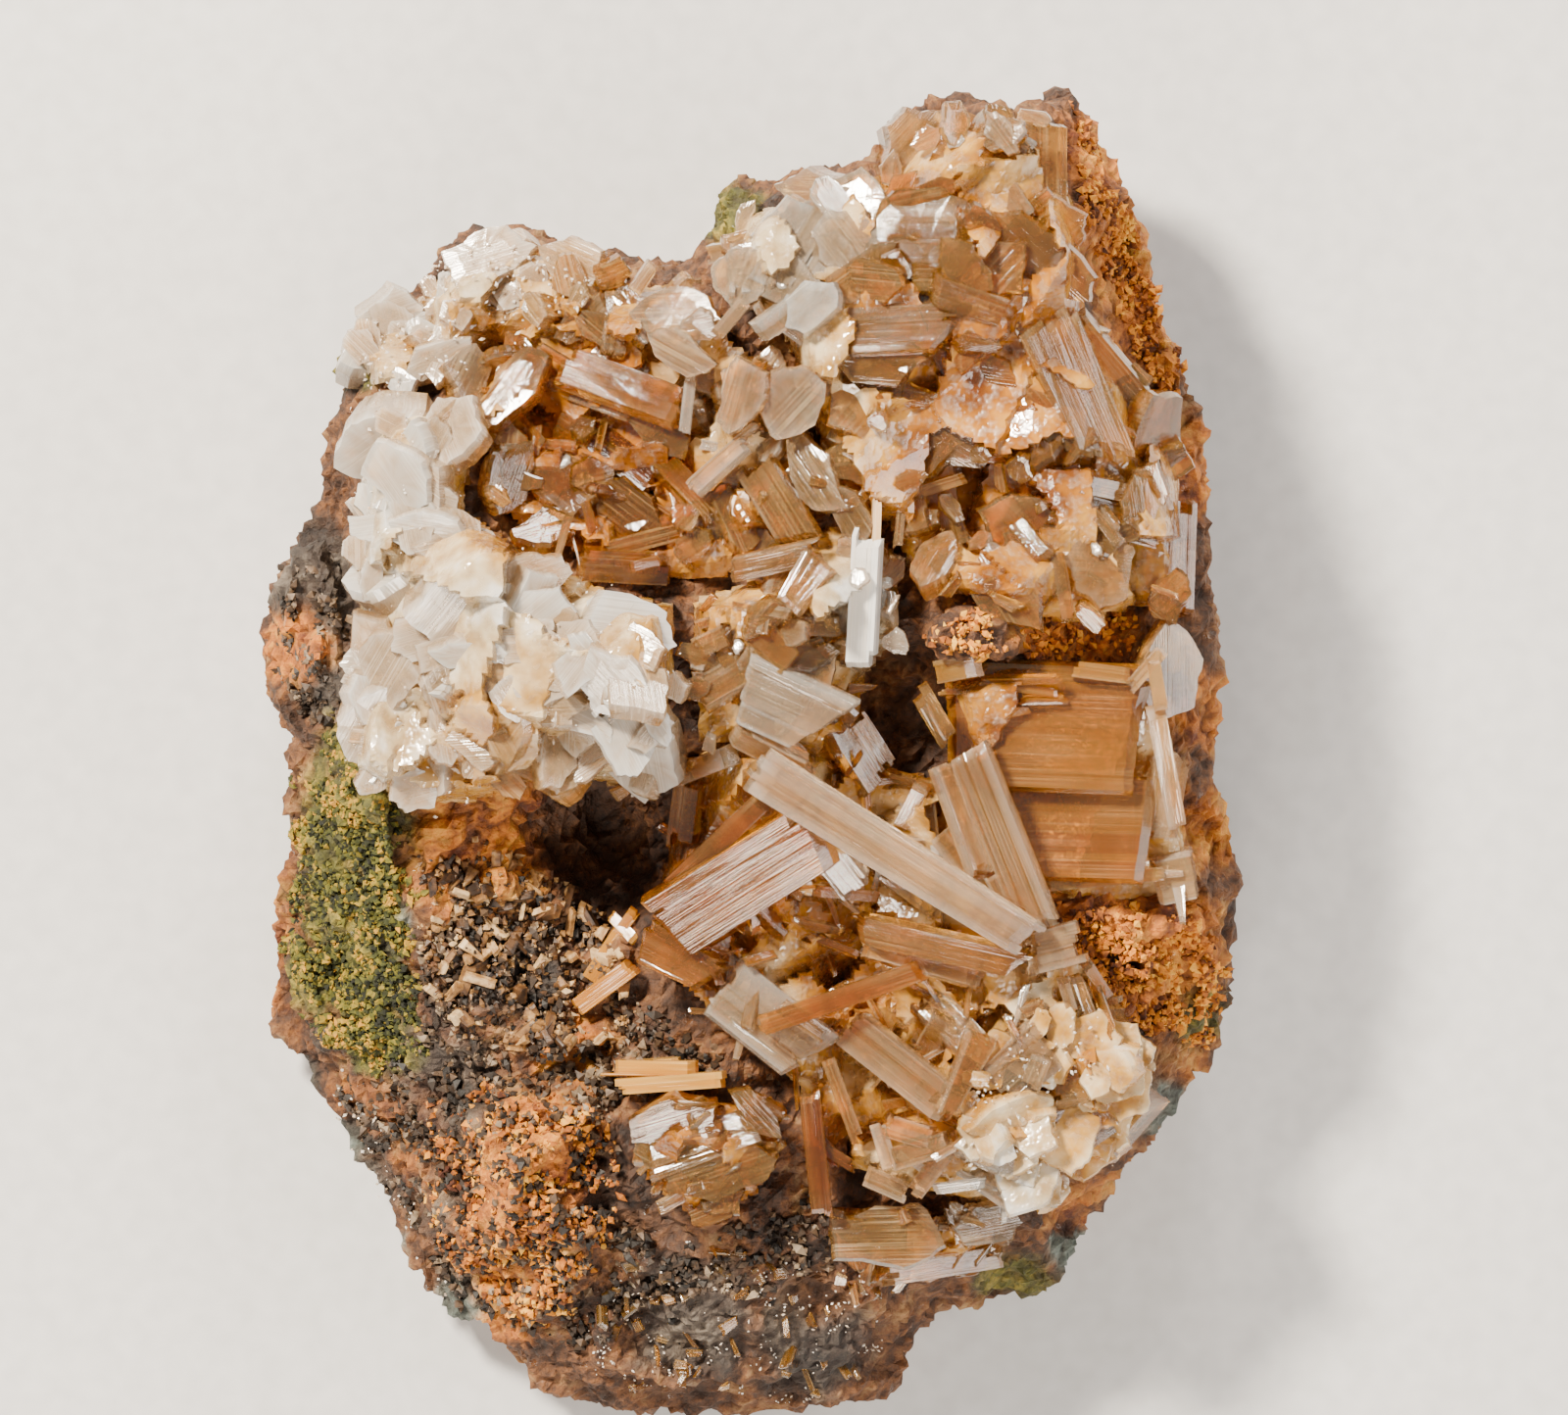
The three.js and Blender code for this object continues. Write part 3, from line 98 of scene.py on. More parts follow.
RIDGE_BLADES = [
    [-2.2, 20.6, 3, 1.0, 20.9, 3.4, 0.8, 0.7, 10], [-0.3, 19.0, 4, -0.3, 21.2, 3.4, 0.9, 0.7, 0],
    [-0.1, 18.6, 4, -1.3, 17.2, 5, 0.6, 0.6, 0], [3.4, 22.8, 3.2, 1.1, 19.0, 4.2, 1.0, 0.9, 10],
    [2.3, 23.0, 3, 0.5, 19.4, 4, 0.9, 0.8, -10], [4.3, 22.4, 3, 1.5, 17.8, 4.6, 1.1, 0.9, 15],
    [3.5, 19.4, 4, 0.5, 17.2, 4.6, 1.0, 0.9, -15], [1.5, 17.6, 4.6, 3.5, 19.0, 5, 1.6, 1.1, -15],
    [1.3, 23.2, 2.6, 4.3, 23.3, 2.6, 1.5, 1.2, 10], [5.9, 24.4, 2.2, 7.9, 26.4, 2.4, 2.4, 1.8, 10],
    [7.9, 24.4, 2, 9.5, 26.4, 2.4, 2.2, 1.6, -12], [9.7, 25.4, 2.4, 10.7, 26.6, 2.4, 1.2, 0.9, 0],
    [12.1, 20.8, 2.8, 12.2, 26.2, 3, 2.0, 1.3, 20], [5.1, 21.2, 3, 9.7, 21.0, 3.4, 3.0, 1.2, -8, 1, 0.9],
    [9.9, 22.2, 4, 13.5, 18.7, 5, 2.2, 1.2, 15, 1, 0.6], [6.5, 19.6, 3.8, 11.9, 19.4, 4, 1.3, 0.9, -12],
    [4.0, 19.5, 3.6, 6.1, 19.4, 4, 1.6, 0.8, 10], [3.5, 17.4, 4, 8.5, 17.6, 4.4, 2.0, 0.9, -12, 1, 0.8],
    [3.9, 16.1, 3.8, 7.3, 16.0, 4.2, 1.8, 0.9, 12], [7.4, 19.0, 4.4, 10.6, 18.0, 4.8, 1.3, 0.8, 14],
    [8.4, 17.2, 4, 10.3, 17.1, 4.2, 1.2, 0.8, -15], [8.4, 15.6, 3.2, 11.0, 15.3, 3.6, 1.7, 0.8, 15],
    [12.1, 18.2, 4.6, 14.9, 12.0, 4.6, 2.6, 1.1, -12, 0.85, 1.0],
    [13.1, 17.8, 4.4, 16.1, 14.4, 4, 1.4, 0.9, 15], [15.2, 13.4, 3, 18.3, 13.2, 3.2, 3.0, 1.1, 18],
    [11.6, 15.0, 3.4, 13.7, 12.4, 3.8, 1.6, 0.8, -10], [6.5, 11.8, 2.8, 8.9, 14.2, 3.4, 2.0, 0.9, -20],
    [6.7, 13.8, 3.4, 9.3, 12.2, 3.6, 1.6, 0.8, 20], [9.6, 13.2, 3.2, 11.8, 14.2, 3.6, 1.3, 0.8, 15],
    [1.6, 13.0, 3, 3.9, 10.2, 3.4, 1.7, 0.9, 15], [3.5, 13.8, 3.2, 5.5, 12.2, 3.6, 1.4, 0.8, -20],
    [3.4, 11.0, 3, 4.7, 8.9, 3.4, 1.3, 0.8, 15], [5.0, 13.4, 4.4, 5.7, 14.0, 4.8, 0.9, 0.8, 20],
    [6.1, 11.2, 4.2, 7.2, 11.6, 4.6, 0.7, 0.6, 0], [9.0, 12.1, 4.2, 9.9, 12.6, 4.6, 0.7, 0.7, 20],
    [10.6, 11.5, 3.8, 11.5, 12.1, 4.2, 1.0, 0.8, 15], [9.0, 8.7, 3.8, 9.9, 9.1, 4.2, 0.6, 0.6, 0],
    [6.6, 9.4, 3, 7.6, 10.2, 3.4, 1.0, 0.7, -20], [6.7, 10.8, 3.4, 8.9, 11.5, 3.8, 0.5, 0.5, 0],
    [8.0, 9.4, 3.6, 7.2, 6.9, 4.2, 1.4, 0.9, 20, 0.6], [13.2, 11.3, 4, 17.0, 10.6, 4, 0.8, 0.7, 0],
    [13.4, 10.2, 3.2, 17.1, 9.2, 3.4, 1.5, 0.9, 10], [13.1, 7.8, 3.2, 15.9, 7.7, 3.2, 3.0, 1.0, -10, 1, 0.5],
    [9.3, 8.6, 3.4, 11.6, 5.4, 3.6, 2.4, 1.0, 10, 1, 0.6], [10.5, 10.1, 3.8, 12.2, 8.0, 4.2, 0.8, 0.7, 10],
    [12.6, 8.6, 4.2, 13.1, 5.6, 4.2, 0.6, 0.6, 0], [17.5, 6.0, 2, 17.7, 11.0, 2.4, 2.0, 1.5, 25],
    [17.4, 1.4, 1.6, 17.4, 5.4, 2, 2.4, 1.3, 22],
]
RIDGE_BED = [
    [2.9, 23.2], [5.4, 24.0], [7.6, 26.2], [11.2, 26.2], [12.9, 26.2], [13.4, 22.6], [13.9, 18.6],
    [16.3, 15], [17.9, 12.6], [18.1, 6], [15.9, 6.1], [13.1, 5.4], [9.8, 6.4], [7.1, 6.9], [5.7, 9.6],
    [3.4, 10.4], [2.6, 14], [1.4, 17.2], [-1.4, 19.6], [-0.2, 22.4],
]

CENTRE_BLADES = [
    [-0.8, 7.6, 3.4, 2.9, 8.4, 4.2, 1.0, 0.8, 12], [3.0, 8.3, 4.4, 1.5, 6.1, 4, 1.6, 0.9, 10, 0.7],
    [-0.8, 6.4, 4, 1.7, 5.9, 4.4, 0.5, 0.5, 0], [-0.5, 5.5, 3, 3.8, 5.4, 3.6, 0.9, 0.7, 15],
    [-2.1, 4.5, 3.6, -0.6, 5.2, 3.8, 0.9, 0.6, 0], [-0.5, 3.0, 4.4, 3.4, 1.2, 6.4, 3.0, 1.1, 10, 1, 0.8],
    [-0.6, 0.9, 3.6, 2.7, -0.8, 4.6, 1.0, 0.8, 35], [6.4, 11.6, 3.6, 6.1, 8.6, 4, 0.4, 0.4, 0],
    [3.9, 1.8, 3.2, 5.7, -1.0, 3, 2.0, 0.9, -25], [-2.2, 2.6, 2.6, 0.6, 4.2, 3, 1.4, 0.9, -20],
    [0.8, 7.2, 2.6, 4.6, 6.6, 3, 1.6, 0.9, -12],
]
CENTRE_BED = [
    [-2.2, 6.6], [1.4, 7.8], [3.4, 9.8], [5.4, 9.2], [6.4, 8.2], [6.2, 5.0], [4.9, 3.2], [4.5, -0.6],
    [0.8, 0.4], [-2.0, 0.6], [-2.2, 3.2],
]
SILVER_BLADE = [
    [4.8, 9.4, 4.5, 4.5, 3.5, 6.0, 1.2, 0.9, 12], [5.3, 10.6, 4.2, 5.2, 7.4, 4.7, 0.35, 0.4, -10],
]

JACKSTRAW_BLADES = [
    [7.1, -1.2, 3.4, 6.2, -3.0, 2.6, 0.7, 0.6, 0], [7.0, 2.8, 6.4, 8.3, 0.6, 5.2, 0.9, 0.7, 0],
    [8.9, 0.4, 5.2, 11.7, -6.6, 5.6, 1.7, 1.0, 12, 1, 0.5], [8.1, 0, 4.2, 9.9, -5.0, 4.6, 1.1, 0.8, -25],
    [7.9, -3.0, 3.4, 9.4, -4.8, 3.6, 1.3, 0.8, 10], [10.3, -4.5, 4, 12.0, -7.7, 4.4, 1.5, 0.9, 0],
    [0.3, -0.4, 7.2, 11.9, -7.7, 6.6, 2.0, 1.2, 5, 0.85], [11.5, -8.0, 5, 13.9, -7.4, 4.2, 1.8, 1.7, 0],
    [12.9, -9.0, 3.6, 13.4, -10.6, 3.2, 0.5, 0.5, 0], [13.5, -9.0, 3.6, 14.2, -10.8, 3, 0.5, 0.5, 0],
    [13.9, -8.4, 3.4, 15.1, -10.2, 2.8, 0.5, 0.5, 0],
    [4.4, -7.0, 4.2, 11.3, -8.5, 5.4, 1.2, 0.9, 15, 1, 0.5], [4.7, -7.6, 3.4, 9.9, -9.0, 3.8, 1.0, 0.8, -10],
    [-3.7, -7.2, 5, 2.9, -3.0, 6.6, 3.1, 1.2, 8, 1, 0.5],
    [-4.5, -7.4, 3.8, -1.5, -9.0, 4, 2.0, 1.0, 12, 0.8, 0.6], [-3.5, -5.6, 5, 0.7, -1.6, 5.6, 0.9, 0.8, 0],
    [-2.5, -0.7, 3, -2.9, -3.8, 3.4, 1.2, 0.9, 20], [-3.2, -0.8, 3.2, -0.9, 0.1, 3.4, 0.9, 0.7, 0],
    [0.3, -11.0, 4.6, 7.3, -8.6, 4.4, 0.9, 0.8, 0], [-1.1, -9.2, 3.2, 2.9, -12.4, 4, 2.8, 1.1, -5, 1, 0.6],
    [1.5, -10.2, 4.8, 3.5, -11.6, 5.2, 0.7, 0.7, 0], [3.7, -10.8, 4.4, 8.3, -14.4, 4.6, 1.7, 1.0, 12],
    [9.9, -11.0, 4.2, 8.0, -15.0, 4.4, 1.3, 0.8, -20, 0.5], [7.1, -12.4, 3.4, 7.9, -10.9, 3.4, 1.0, 0.8, 0],
    [3.3, -12.4, 4.2, 4.7, -16.2, 4.4, 0.6, 0.6, 0], [2.5, -13.6, 3.4, 3.1, -19.2, 3.4, 0.9, 0.8, 0],
    [3.0, -16.0, 2.8, 4.4, -16.9, 3.2, 0.5, 0.5, 0], [4.8, -17.2, 2.8, 6.6, -18.0, 3, 0.9, 0.7, 0],
    [5.3, -15.0, 3.6, 7.5, -15.6, 3.6, 1.0, 0.8, 0], [5.7, -16.6, 3.4, 8.1, -15.8, 3.4, 1.0, 0.8, 0],
    [5.3, -15.0, 3.8, 5.9, -17.0, 3.8, 0.7, 0.7, 0], [6.7, -18.2, 3, 8.1, -16.2, 3.4, 0.8, 0.7, 0],
    [9.9, -13.8, 2.8, 12.7, -11.4, 3, 2.4, 1.6, 15], [12.3, -13.0, 3, 15.3, -12.6, 3, 2.6, 1.8, -15],
    [11.9, -16.2, 2.8, 14.9, -14.2, 2.8, 2.6, 1.6, 15], [13.9, -16.2, 2.4, 16.1, -13.6, 2.6, 2.0, 1.5, -20],
    [13.1, -11.0, 2.8, 15.9, -11.0, 2.8, 1.6, 1.3, 20], [11.5, -13.6, 4.2, 12.0, -12.3, 4.4, 0.9, 0.9, 0],
    [9.7, -17.0, 3, 11.9, -18.6, 3, 1.8, 1.1, 10], [8.9, -15.4, 2.8, 11.5, -16.6, 3, 1.6, 1.1, -15],
    [2.0, -2.4, 3.4, 4.6, -5.6, 3.4, 1.5, 0.9, 18], [-1.4, -3.6, 2.4, 2.2, -7.0, 2.6, 1.6, 0.9, -20],
    [5.4, -4.2, 3, 8.0, -6.2, 3.2, 1.4, 0.8, 20], [7.2, -9.6, 2.6, 9.4, -11.8, 2.8, 1.5, 0.9, -15],
]
JACKSTRAW_BED = [
    [-2.6, 0.2], [0.8, 1.0], [4.6, 0.0], [8.4, -0.8], [10.6, -2.2], [12.4, -5.6], [13.6, -8], [15.6, -10.6],
    [16.4, -13], [14.4, -16.6], [11.8, -18.4], [8.6, -18.4], [5.2, -17.4], [2.6, -16.4], [2.0, -13.6],
    [-1.2, -10.8], [-4.2, -8.2], [-3.6, -4.4],
]

AMBER_BLADES = [
    [8.1, 1.6, 2.6, 16.1, 1.1, 2.6, 4.0, 1.5, 12, 1, 0.4], [10.9, -2.4, 1.8, 15.9, -2.6, 1.8, 2.8, 1.1, 5],
    [7.4, 3.5, 3.2, 9.0, 3.8, 3.4, 1.0, 0.9, 0], [13.3, 3.7, 3.4, 15.7, 3.4, 3.4, 0.7, 0.7, 0],
    [14.3, -3.9, 2.4, 15.5, -3.6, 2.6, 0.7, 0.6, 0], [11.9, -5.2, 2.2, 17.3, -4.7, 2.8, 0.6, 0.7, 0],
    [16.7, -5.2, 2, 18.6, -4.8, 2, 2.0, 1.6, 10], [17.7, -5.0, 2.2, 17.9, -6.7, 1.8, 0.6, 0.6, 0, 0.4],
    [15.5, 2.8, 3.6, 17.1, 4.6, 3.8, 0.6, 0.7, 0], [16.5, 4.4, 4, 16.9, 2.0, 4, 0.6, 0.7, 0],
    [16.7, 1.9, 3.6, 17.7, -3.0, 3.2, 0.8, 0.8, 0], [16.9, -3.6, 1.6, 17.5, 0.2, 1.8, 1.6, 1.1, 20],
]
AMBER_SLABS = [
    [8.0, 1.5, 2.9, 16.2, 1.2, 2.9, 5.4, 1.2, 0, 1, 0.12],
    [8.8, -2.7, 2.7, 16.6, -2.9, 2.6, 4.4, 1.2, -4, 1, 0.2],
]
AMBER_BED = [
    [7.9, 3.4], [12.5, 4.0], [15.6, 4.0], [17.4, 2.4], [17.9, -0.6], [18.1, -3.8], [18.6, -5.6], [15, -6.0],
    [11.6, -5.6], [10.8, -2.6], [8.7, -0.4],
]

FAN_BLADES = [
    [-4.7, -15.6, 2.4, -1.3, -14.2, 2.6, 1.6, 1.1, 15], [-4.3, -16.6, 3, 0.3, -15.0, 3, 2.0, 1.3, -10, 0.8],
    [-3.3, -17.8, 3, 1.0, -16.4, 3, 2.0, 1.2, 12, 0.8], [-2.5, -19.0, 2, -0.1, -18.0, 2.4, 1.3, 1.0, 0],
    [-0.5, -13.8, 2.4, 1.3, -15.8, 3, 1.2, 0.9, 0],
]
FAN_BED = [
    [-4.9, -15.6], [-2.4, -14.0], [0.9, -14.2], [1.4, -16.4], [0.4, -18.2], [-2.2, -19.2], [-4.3, -17.6],
]

BOTTOM_BLADES = [
    [3.7, -19.8, 2.6, 8.1, -19.6, 3, 2.4, 1.0, -15, 0.8, 0.6],
    [8.4, -19.5, 2.4, 11.4, -19.3, 2.6, 1.5, 0.8, 15], [5.5, -21.5, 2.4, 10.7, -20.8, 3.2, 1.0, 0.8, 0],
    [3.6, -18.9, 2, 6.2, -20.6, 2, 1.3, 0.8, 20],
]
BOTTOM_BED = [
    [3.7, -18.9], [7.4, -18.9], [10.8, -18.8], [11.0, -20.4], [8.2, -21.8], [5.3, -21.9], [3.7, -20.8],
]

ROD_PAIR = [
    [-6.2, -12.8, 1.6, -2.3, -12.8, 1.8, 0.7, 0.8, 0], [-5.7, -13.6, 1.4, -0.9, -13.2, 1.8, 0.7, 0.8, 0],
    [-5.2, -13.2, 0.9, -2.6, -13.0, 1, 1.4, 0.9, 0],
]
CAVITY_RODS = [
    [-7.2, -10.4, 0.9, -4.8, -8.6, 1.6, 0.8, 0.8, 0], [-5.8, -6.4, 1.6, -4.7, -7.5, 0.6, 0.5, 0.5, 0],
    [-5.5, -7.4, 0.6, -4.7, -6.3, 1.8, 0.5, 0.5, 0], [-6.6, -9.4, 0.4, -5.0, -7.0, 0.4, 1.0, 0.8, 0],
]

# Outlines of the fields of grains and of the lower right mass.
PEACH_MASS = [
    [9.6, -11.4], [12.6, -10.6], [15.6, -10.8], [16.6, -13.2], [14.6, -16.6], [12.0, -18.4], [9.4, -18.2],
    [9.0, -14.6],
]
MOSS_FIELD = [
    [-16.4, 0.8], [-14.8, -1.8], [-14.0, -5.4], [-13.8, -9.0], [-13.4, -12.4], [-15.2, -13.4],
    [-18.0, -12.0], [-19.2, -9.4], [-19.2, -6.4], [-18.8, -3.4], [-18.4, -0.6],
]
OCHRE_FIELD = [
    [12.4, -6.0], [15.4, -6.2], [18.8, -6.6], [20.0, -8.6], [19.2, -11.6], [17.2, -12.0], [14.6, -9.6],
    [13.2, -8.0],
]
UPPER_FLANK = [
    [13.6, 27.0], [14.9, 24.6], [16.2, 21.6], [16.8, 18.6], [18.2, 14.8], [17.2, 14.8], [15.4, 18.4],
    [13.6, 22.6],
]
LUMP_FIELD = [
    [6.8, 5.0], [8.6, 6.4], [11.4, 6.0], [13.6, 6.2], [15.8, 6.2], [15.6, 4.4], [11.8, 4.2], [8.8, 3.8],
]
ORANGE_FACE = [
    [-12.0, -13.6], [-9.0, -14.2], [-6.2, -14.2], [-5.6, -17.0], [-6.2, -20.2], [-7.6, -23.4],
    [-10.0, -23.6], [-12.4, -21.8], [-13.6, -18.2], [-13.4, -15.2],
]
EARTH_FIELD = [
    [-13.6, -5.6], [-10.0, -5.0], [-7.6, -5.4], [-5.0, -9.6], [-1.6, -12.2], [1.6, -13.4], [-5.2, -14.4],
    [-6.2, -18.6], [-3.0, -20.6], [3.4, -18.4], [3.6, -22.0], [-2.0, -22.4], [-7.4, -24.6], [-11.6, -24.0],
    [-14.6, -19.6], [-17.2, -14.2], [-14.2, -12.0], [-13.4, -8.0],
]
NODULE_FIELD = [
    [-19.2, 7.6], [-17.2, 8.6], [-16.4, 5.4], [-16.4, 1.6], [-18.2, 1.4], [-19.6, 3.6],
]
HOLLOW_FLOOR = [
    [-13.4, -4.4], [-10.4, -3.8], [-8.0, -4.8], [-5.8, -6.6], [-5.0, -9.2], [-5.4, -11.6], [-8.6, -12.2],
    [-11.6, -11.8], [-13.4, -9.4],
]
DRUSE_FIELD = [
    [-6.0, -21.4], [-1.8, -20.0], [2.4, -20.4], [5.4, -22.2], [6.0, -25.2], [2.6, -27.0], [-3.4, -27.0],
    [-7.6, -26.0],
]
RIM_FIELD = [
    [-16.4, 12.6], [-14.0, 14.6], [-13.6, 16.0], [-16.2, 16.6],
]
BLUE_FIELD = [
    [-17.8, -13.6], [-16.4, -13.6], [-14.4, -17.4], [-13.0, -21.6], [-12.0, -23.4], [-13.6, -22.6],
    [-15.2, -19.4], [-17.0, -16.4],
]

# Colours of the rock by place, for each kind of ground: x, y, radius. The dark ground is dark earth, and
# painted shade in the hollow under the white crust and in the gap of the fan.
ROCK_PATCHES = {
    "moss": [
        [-16.6, -2.6, 2.6], [-17.4, -6.4, 2.5], [-16.2, -9.4, 2.0], [-15.4, -12.0, 1.5],
        [-16.2, 0.6, 1.6], [-18.6, -9.6, 1.5], [-15.8, 16.4, 1.1], [-0.6, 22.4, 1.3], [11.2, -22.4, 1.6],
        [19.4, -11.0, 1.6], [8.6, 24.0, 1.0],
    ],
    "blue": [
        [-15.0, -7.0, 1.3], [-18.6, -12.4, 1.6], [-17.6, -16.4, 1.3], [-15.7, -20.6, 1.3],
        [-15.8, 17.6, 1.6], [13.6, -20.6, 1.2], [-12.6, -23.2, 1.3], [17.6, -14.6, 1.2],
    ],
    "ochre": [
        [-11.6, -3.8, 3.0], [-9.6, -2.6, 1.7], [-9.4, -18.6, 3.0], [-8.4, -15.6, 2.0], [-7.4, -12.0, 1.6],
        [14.0, -6.8, 2.8], [17.4, -8.4, 2.8], [16.0, -4.0, 1.8], [15.4, 21.0, 2.3], [16.6, 17.4, 1.9],
        [14.4, 25.0, 1.8], [19.0, 2.0, 1.5], [18.9, -3.0, 1.7], [13.4, 5.4, 2.2], [12.0, 10.0, 1.3],
        [-18.8, 4.6, 1.5], [-9.4, 18.9, 1.8], [-10.4, -23.0, 1.6], [18.8, 12.0, 1.8], [12.8, -3.6, 1.6],
    ],
    # Dark earth; in the hollow under the white crust and in the fan's gap it is painted shade.
    "dark_earth_and_shade": [
        [-6.8, -2.9, 2.1], [-6.4, -6.0, 1.1], [6.6, 1.0, 1.9], [5.2, -10.4, 2.1], [-4.6, -18.0, 1.3],
        [3.0, -22.6, 1.2], [6.4, -15.0, 1.2], [-13.6, 16.8, 1.2], [8.4, -8.4, 1.3], [-3.0, -9.8, 1.2],
        [15.6, -8.6, 0.8], [-4.6, -18.2, 2.2],
    ],
    "grey": [
        [-18.0, 6.2, 2.0], [-17.2, 2.6, 1.3], [-14.0, -14.0, 3.2], [-12.6, -18.0, 1.8], [-17.6, 8.0, 1.7],
        [-2.4, -23.4, 2.6], [2.6, -24.6, 2.4], [-10.4, -8.6, 1.8], [-8.4, -9.6, 1.3], [10.4, -22.0, 1.0],
    ],
}

# Clouds of ground on the flanks: kind, and the step of its noise.
FLANK_CLOUDS = (("ochre", 3.0), ("grey", 17.0), ("dark_earth_and_shade", 31.0), ("ochre", 43.0))

# Heights of the rock's lumps and of its grit.
ROCK_LUMP = 0.42
ROCK_GRIT = 0.2

# Tone of the crystals around a place, white at 0 to deep amber at 1: x, y, tone. One point is painted light.
CRYSTAL_SHADES = [
    [-15.0, 10.0, 0.12], [-13.4, 6.0, 0.14], [-10.6, 6.4, 0.06], [-8.6, 3.4, 0.3], [-5.6, 5.4, 0.1],
    [-5.0, 1.0, 0.12], [-14.4, 1.6, 0.2], [-10.4, 0.6, 0.42], [-12.0, 13.0, 0.3], [-3.2, 5.2, 0.36],
    [-15.2, 17.4, 0.16], [-11.0, 20.6, 0.18], [-8.8, 18.4, 0.4], [-6.4, 20.4, 0.45], [-8.0, 14.8, 0.7],
    # The point at -2.4, 14.2 is paler to lift the shade on the vug's right: painted light.
    [-5.4, 15.6, 0.74], [-7.0, 11.2, 0.8], [-4.0, 12.2, 0.82], [-3.0, 17.0, 0.2], [-2.4, 14.2, 0.14],
    [-4.6, 8.4, 0.72], [-8.8, 9.6, 0.6], [0.0, 9.6, 0.5], [0.4, 13.0, 0.3], [1.2, 21.0, 0.22],
    [2.6, 19.0, 0.14], [3.4, 16.0, 0.26], [0.0, 17.6, 0.3], [3.8, 12.8, 0.4], [7.6, 25.4, 0.36],
    [9.6, 24.4, 0.4], [12.2, 24.0, 0.44], [8.4, 21.8, 0.66], [6.4, 19.4, 0.66], [10.0, 20.4, 0.66],
    [12.0, 20.6, 0.6], [5.4, 17.0, 0.62], [8.6, 15.6, 0.72], [7.4, 12.6, 0.7], [11.2, 13.6, 0.7],
    [14.0, 15.0, 0.54], [16.6, 13.6, 0.58], [16.0, 10.0, 0.48], [12.8, 11.4, 0.76], [14.6, 7.8, 0.36],
    [10.4, 7.2, 0.66], [17.6, 8.0, 0.6], [17.4, 3.0, 0.42], [8.0, 8.2, 0.44], [5.0, 10.6, 0.5],
    [4.6, 6.0, 0.02], [2.0, 7.6, 0.34], [1.4, 2.2, 0.22], [2.4, 5.0, 0.5], [-0.8, 4.4, 0.44],
    [4.8, 0.6, 0.66], [1.6, -0.4, 0.34], [9.4, -2.0, 0.34], [10.6, -4.6, 0.4], [4.0, -2.6, 0.24],
    [8.0, -5.4, 0.22], [11.6, -7.6, 0.2], [-0.8, -5.0, 0.72], [-3.6, -8.2, 0.72], [-2.6, -3.6, 0.84],
    [7.6, -7.8, 0.52], [3.6, -9.8, 0.7], [1.0, -10.8, 0.2], [6.0, -12.6, 0.36], [9.0, -13.0, 0.44],
    [2.8, -16.4, 0.86], [6.2, -16.2, 0.32], [12.4, -12.6, 0.38], [14.6, -13.0, 0.42], [13.6, -15.4, 0.52],
    [10.6, -17.6, 0.16], [15.2, -10.8, 0.46], [11.8, 1.4, 0.86], [13.4, -2.4, 0.92], [17.0, 0.6, 0.3],
    [17.6, -4.8, 0.28], [14.6, -5.0, 0.5], [8.2, 3.6, 0.5], [-2.6, -15.4, 0.56], [-1.4, -17.6, 0.6],
    [6.4, -19.6, 0.5], [8.4, -21.0, 0.5], [-4.2, -13.0, 0.7], [-5.8, -8.6, 0.8],
]

# Faces that flash towards the camera: x, y, lift, size; then the tilt and the lean they share.
GLINTS = [
    [5.3, 13.7, 3.9, 1.1], [6.4, 14.4, 3.7, 0.7], [11.1, 11.8, 3.9, 1.2], [9.4, 12.4, 3.8, 1.0],
    [6.9, 11.6, 3.8, 0.8], [5.6, 11.4, 3.7, 0.7], [4.5, 7.4, 5.0, 1.1], [11.6, -12.8, 3.6, 1.0],
    [10.6, -17.8, 3.2, 1.2], [-12.2, 7.0, 4.4, 1.3], [-5.4, 2.6, 4.2, 1.2], [-8.9, 18.6, 2.8, 0.9],
    [-12.8, 16.8, 2.6, 0.8], [8.4, 25.2, 2.8, 0.9], [-2.4, 9.6, 3.4, 0.9], [-7.6, 12.2, 2.6, 0.8],
    [14.2, 8.6, 3.7, 0.6], [1.4, 19.4, 3.9, 0.8], [2.2, 15.4, 3.6, 0.8], [-0.4, 4.6, 3.6, 0.7],
]
GLINT_TILT = 0.33
GLINT_LEAN = 2.29

# Listed crystals shorter than this many widths are broken plates, raised by this much.
PLATE_RATIO = 2.4
PLATE_RISE = 0.25

# The camera stands over the crystal face as the photo's does.
CAMERA_OVER = (1.48, 2.12)
CAMERA_DISTANCE = 400.0
PHOTO_WIDTH = 64.0
FACE_HEIGHT = 18.0
SENSOR = 36.0


class Pieces:
    """Corners, faces and the crystal coordinates of one mesh while it is being made."""

    def __init__(self):
        self.points = []
        self.faces = []
        self.grain = []
        self.tone = []
        self.count = 0

    def add(self, points, faces, grain, tone):
        self.points.append(np.asarray(points, float))
        self.faces.extend([[self.count + i for i in face] for face in faces])
        self.grain.append(np.asarray(grain, float))
        self.tone.append(np.full(len(points), tone) if np.isscalar(tone) else np.asarray(tone, float))
        self.count += len(points)

    def build(self, name, material, nodes, slot):
        points = np.concatenate(self.points) * MM
        mesh = bpy.data.meshes.new(name)
        mesh.from_pydata(points.tolist(), [], self.faces)
        grain = mesh.attributes.new("grain", "FLOAT_VECTOR", "POINT")
        grain.data.foreach_set("vector", np.concatenate(self.grain).ravel())
        tone = mesh.attributes.new("tone", "FLOAT", "POINT")
        tone.data.foreach_set("value", np.concatenate(self.tone))
        mesh.materials.append(material)
        return shown(name, mesh, nodes, slot)


def shown(name, mesh, nodes, slot):
    """A finished piece of the specimen that stands for CAD nodes."""
    thing = bpy.data.objects.new(name, mesh)
    bpy.context.scene.collection.objects.link(thing)
    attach(thing, "root")
    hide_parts(*nodes)
    return thing


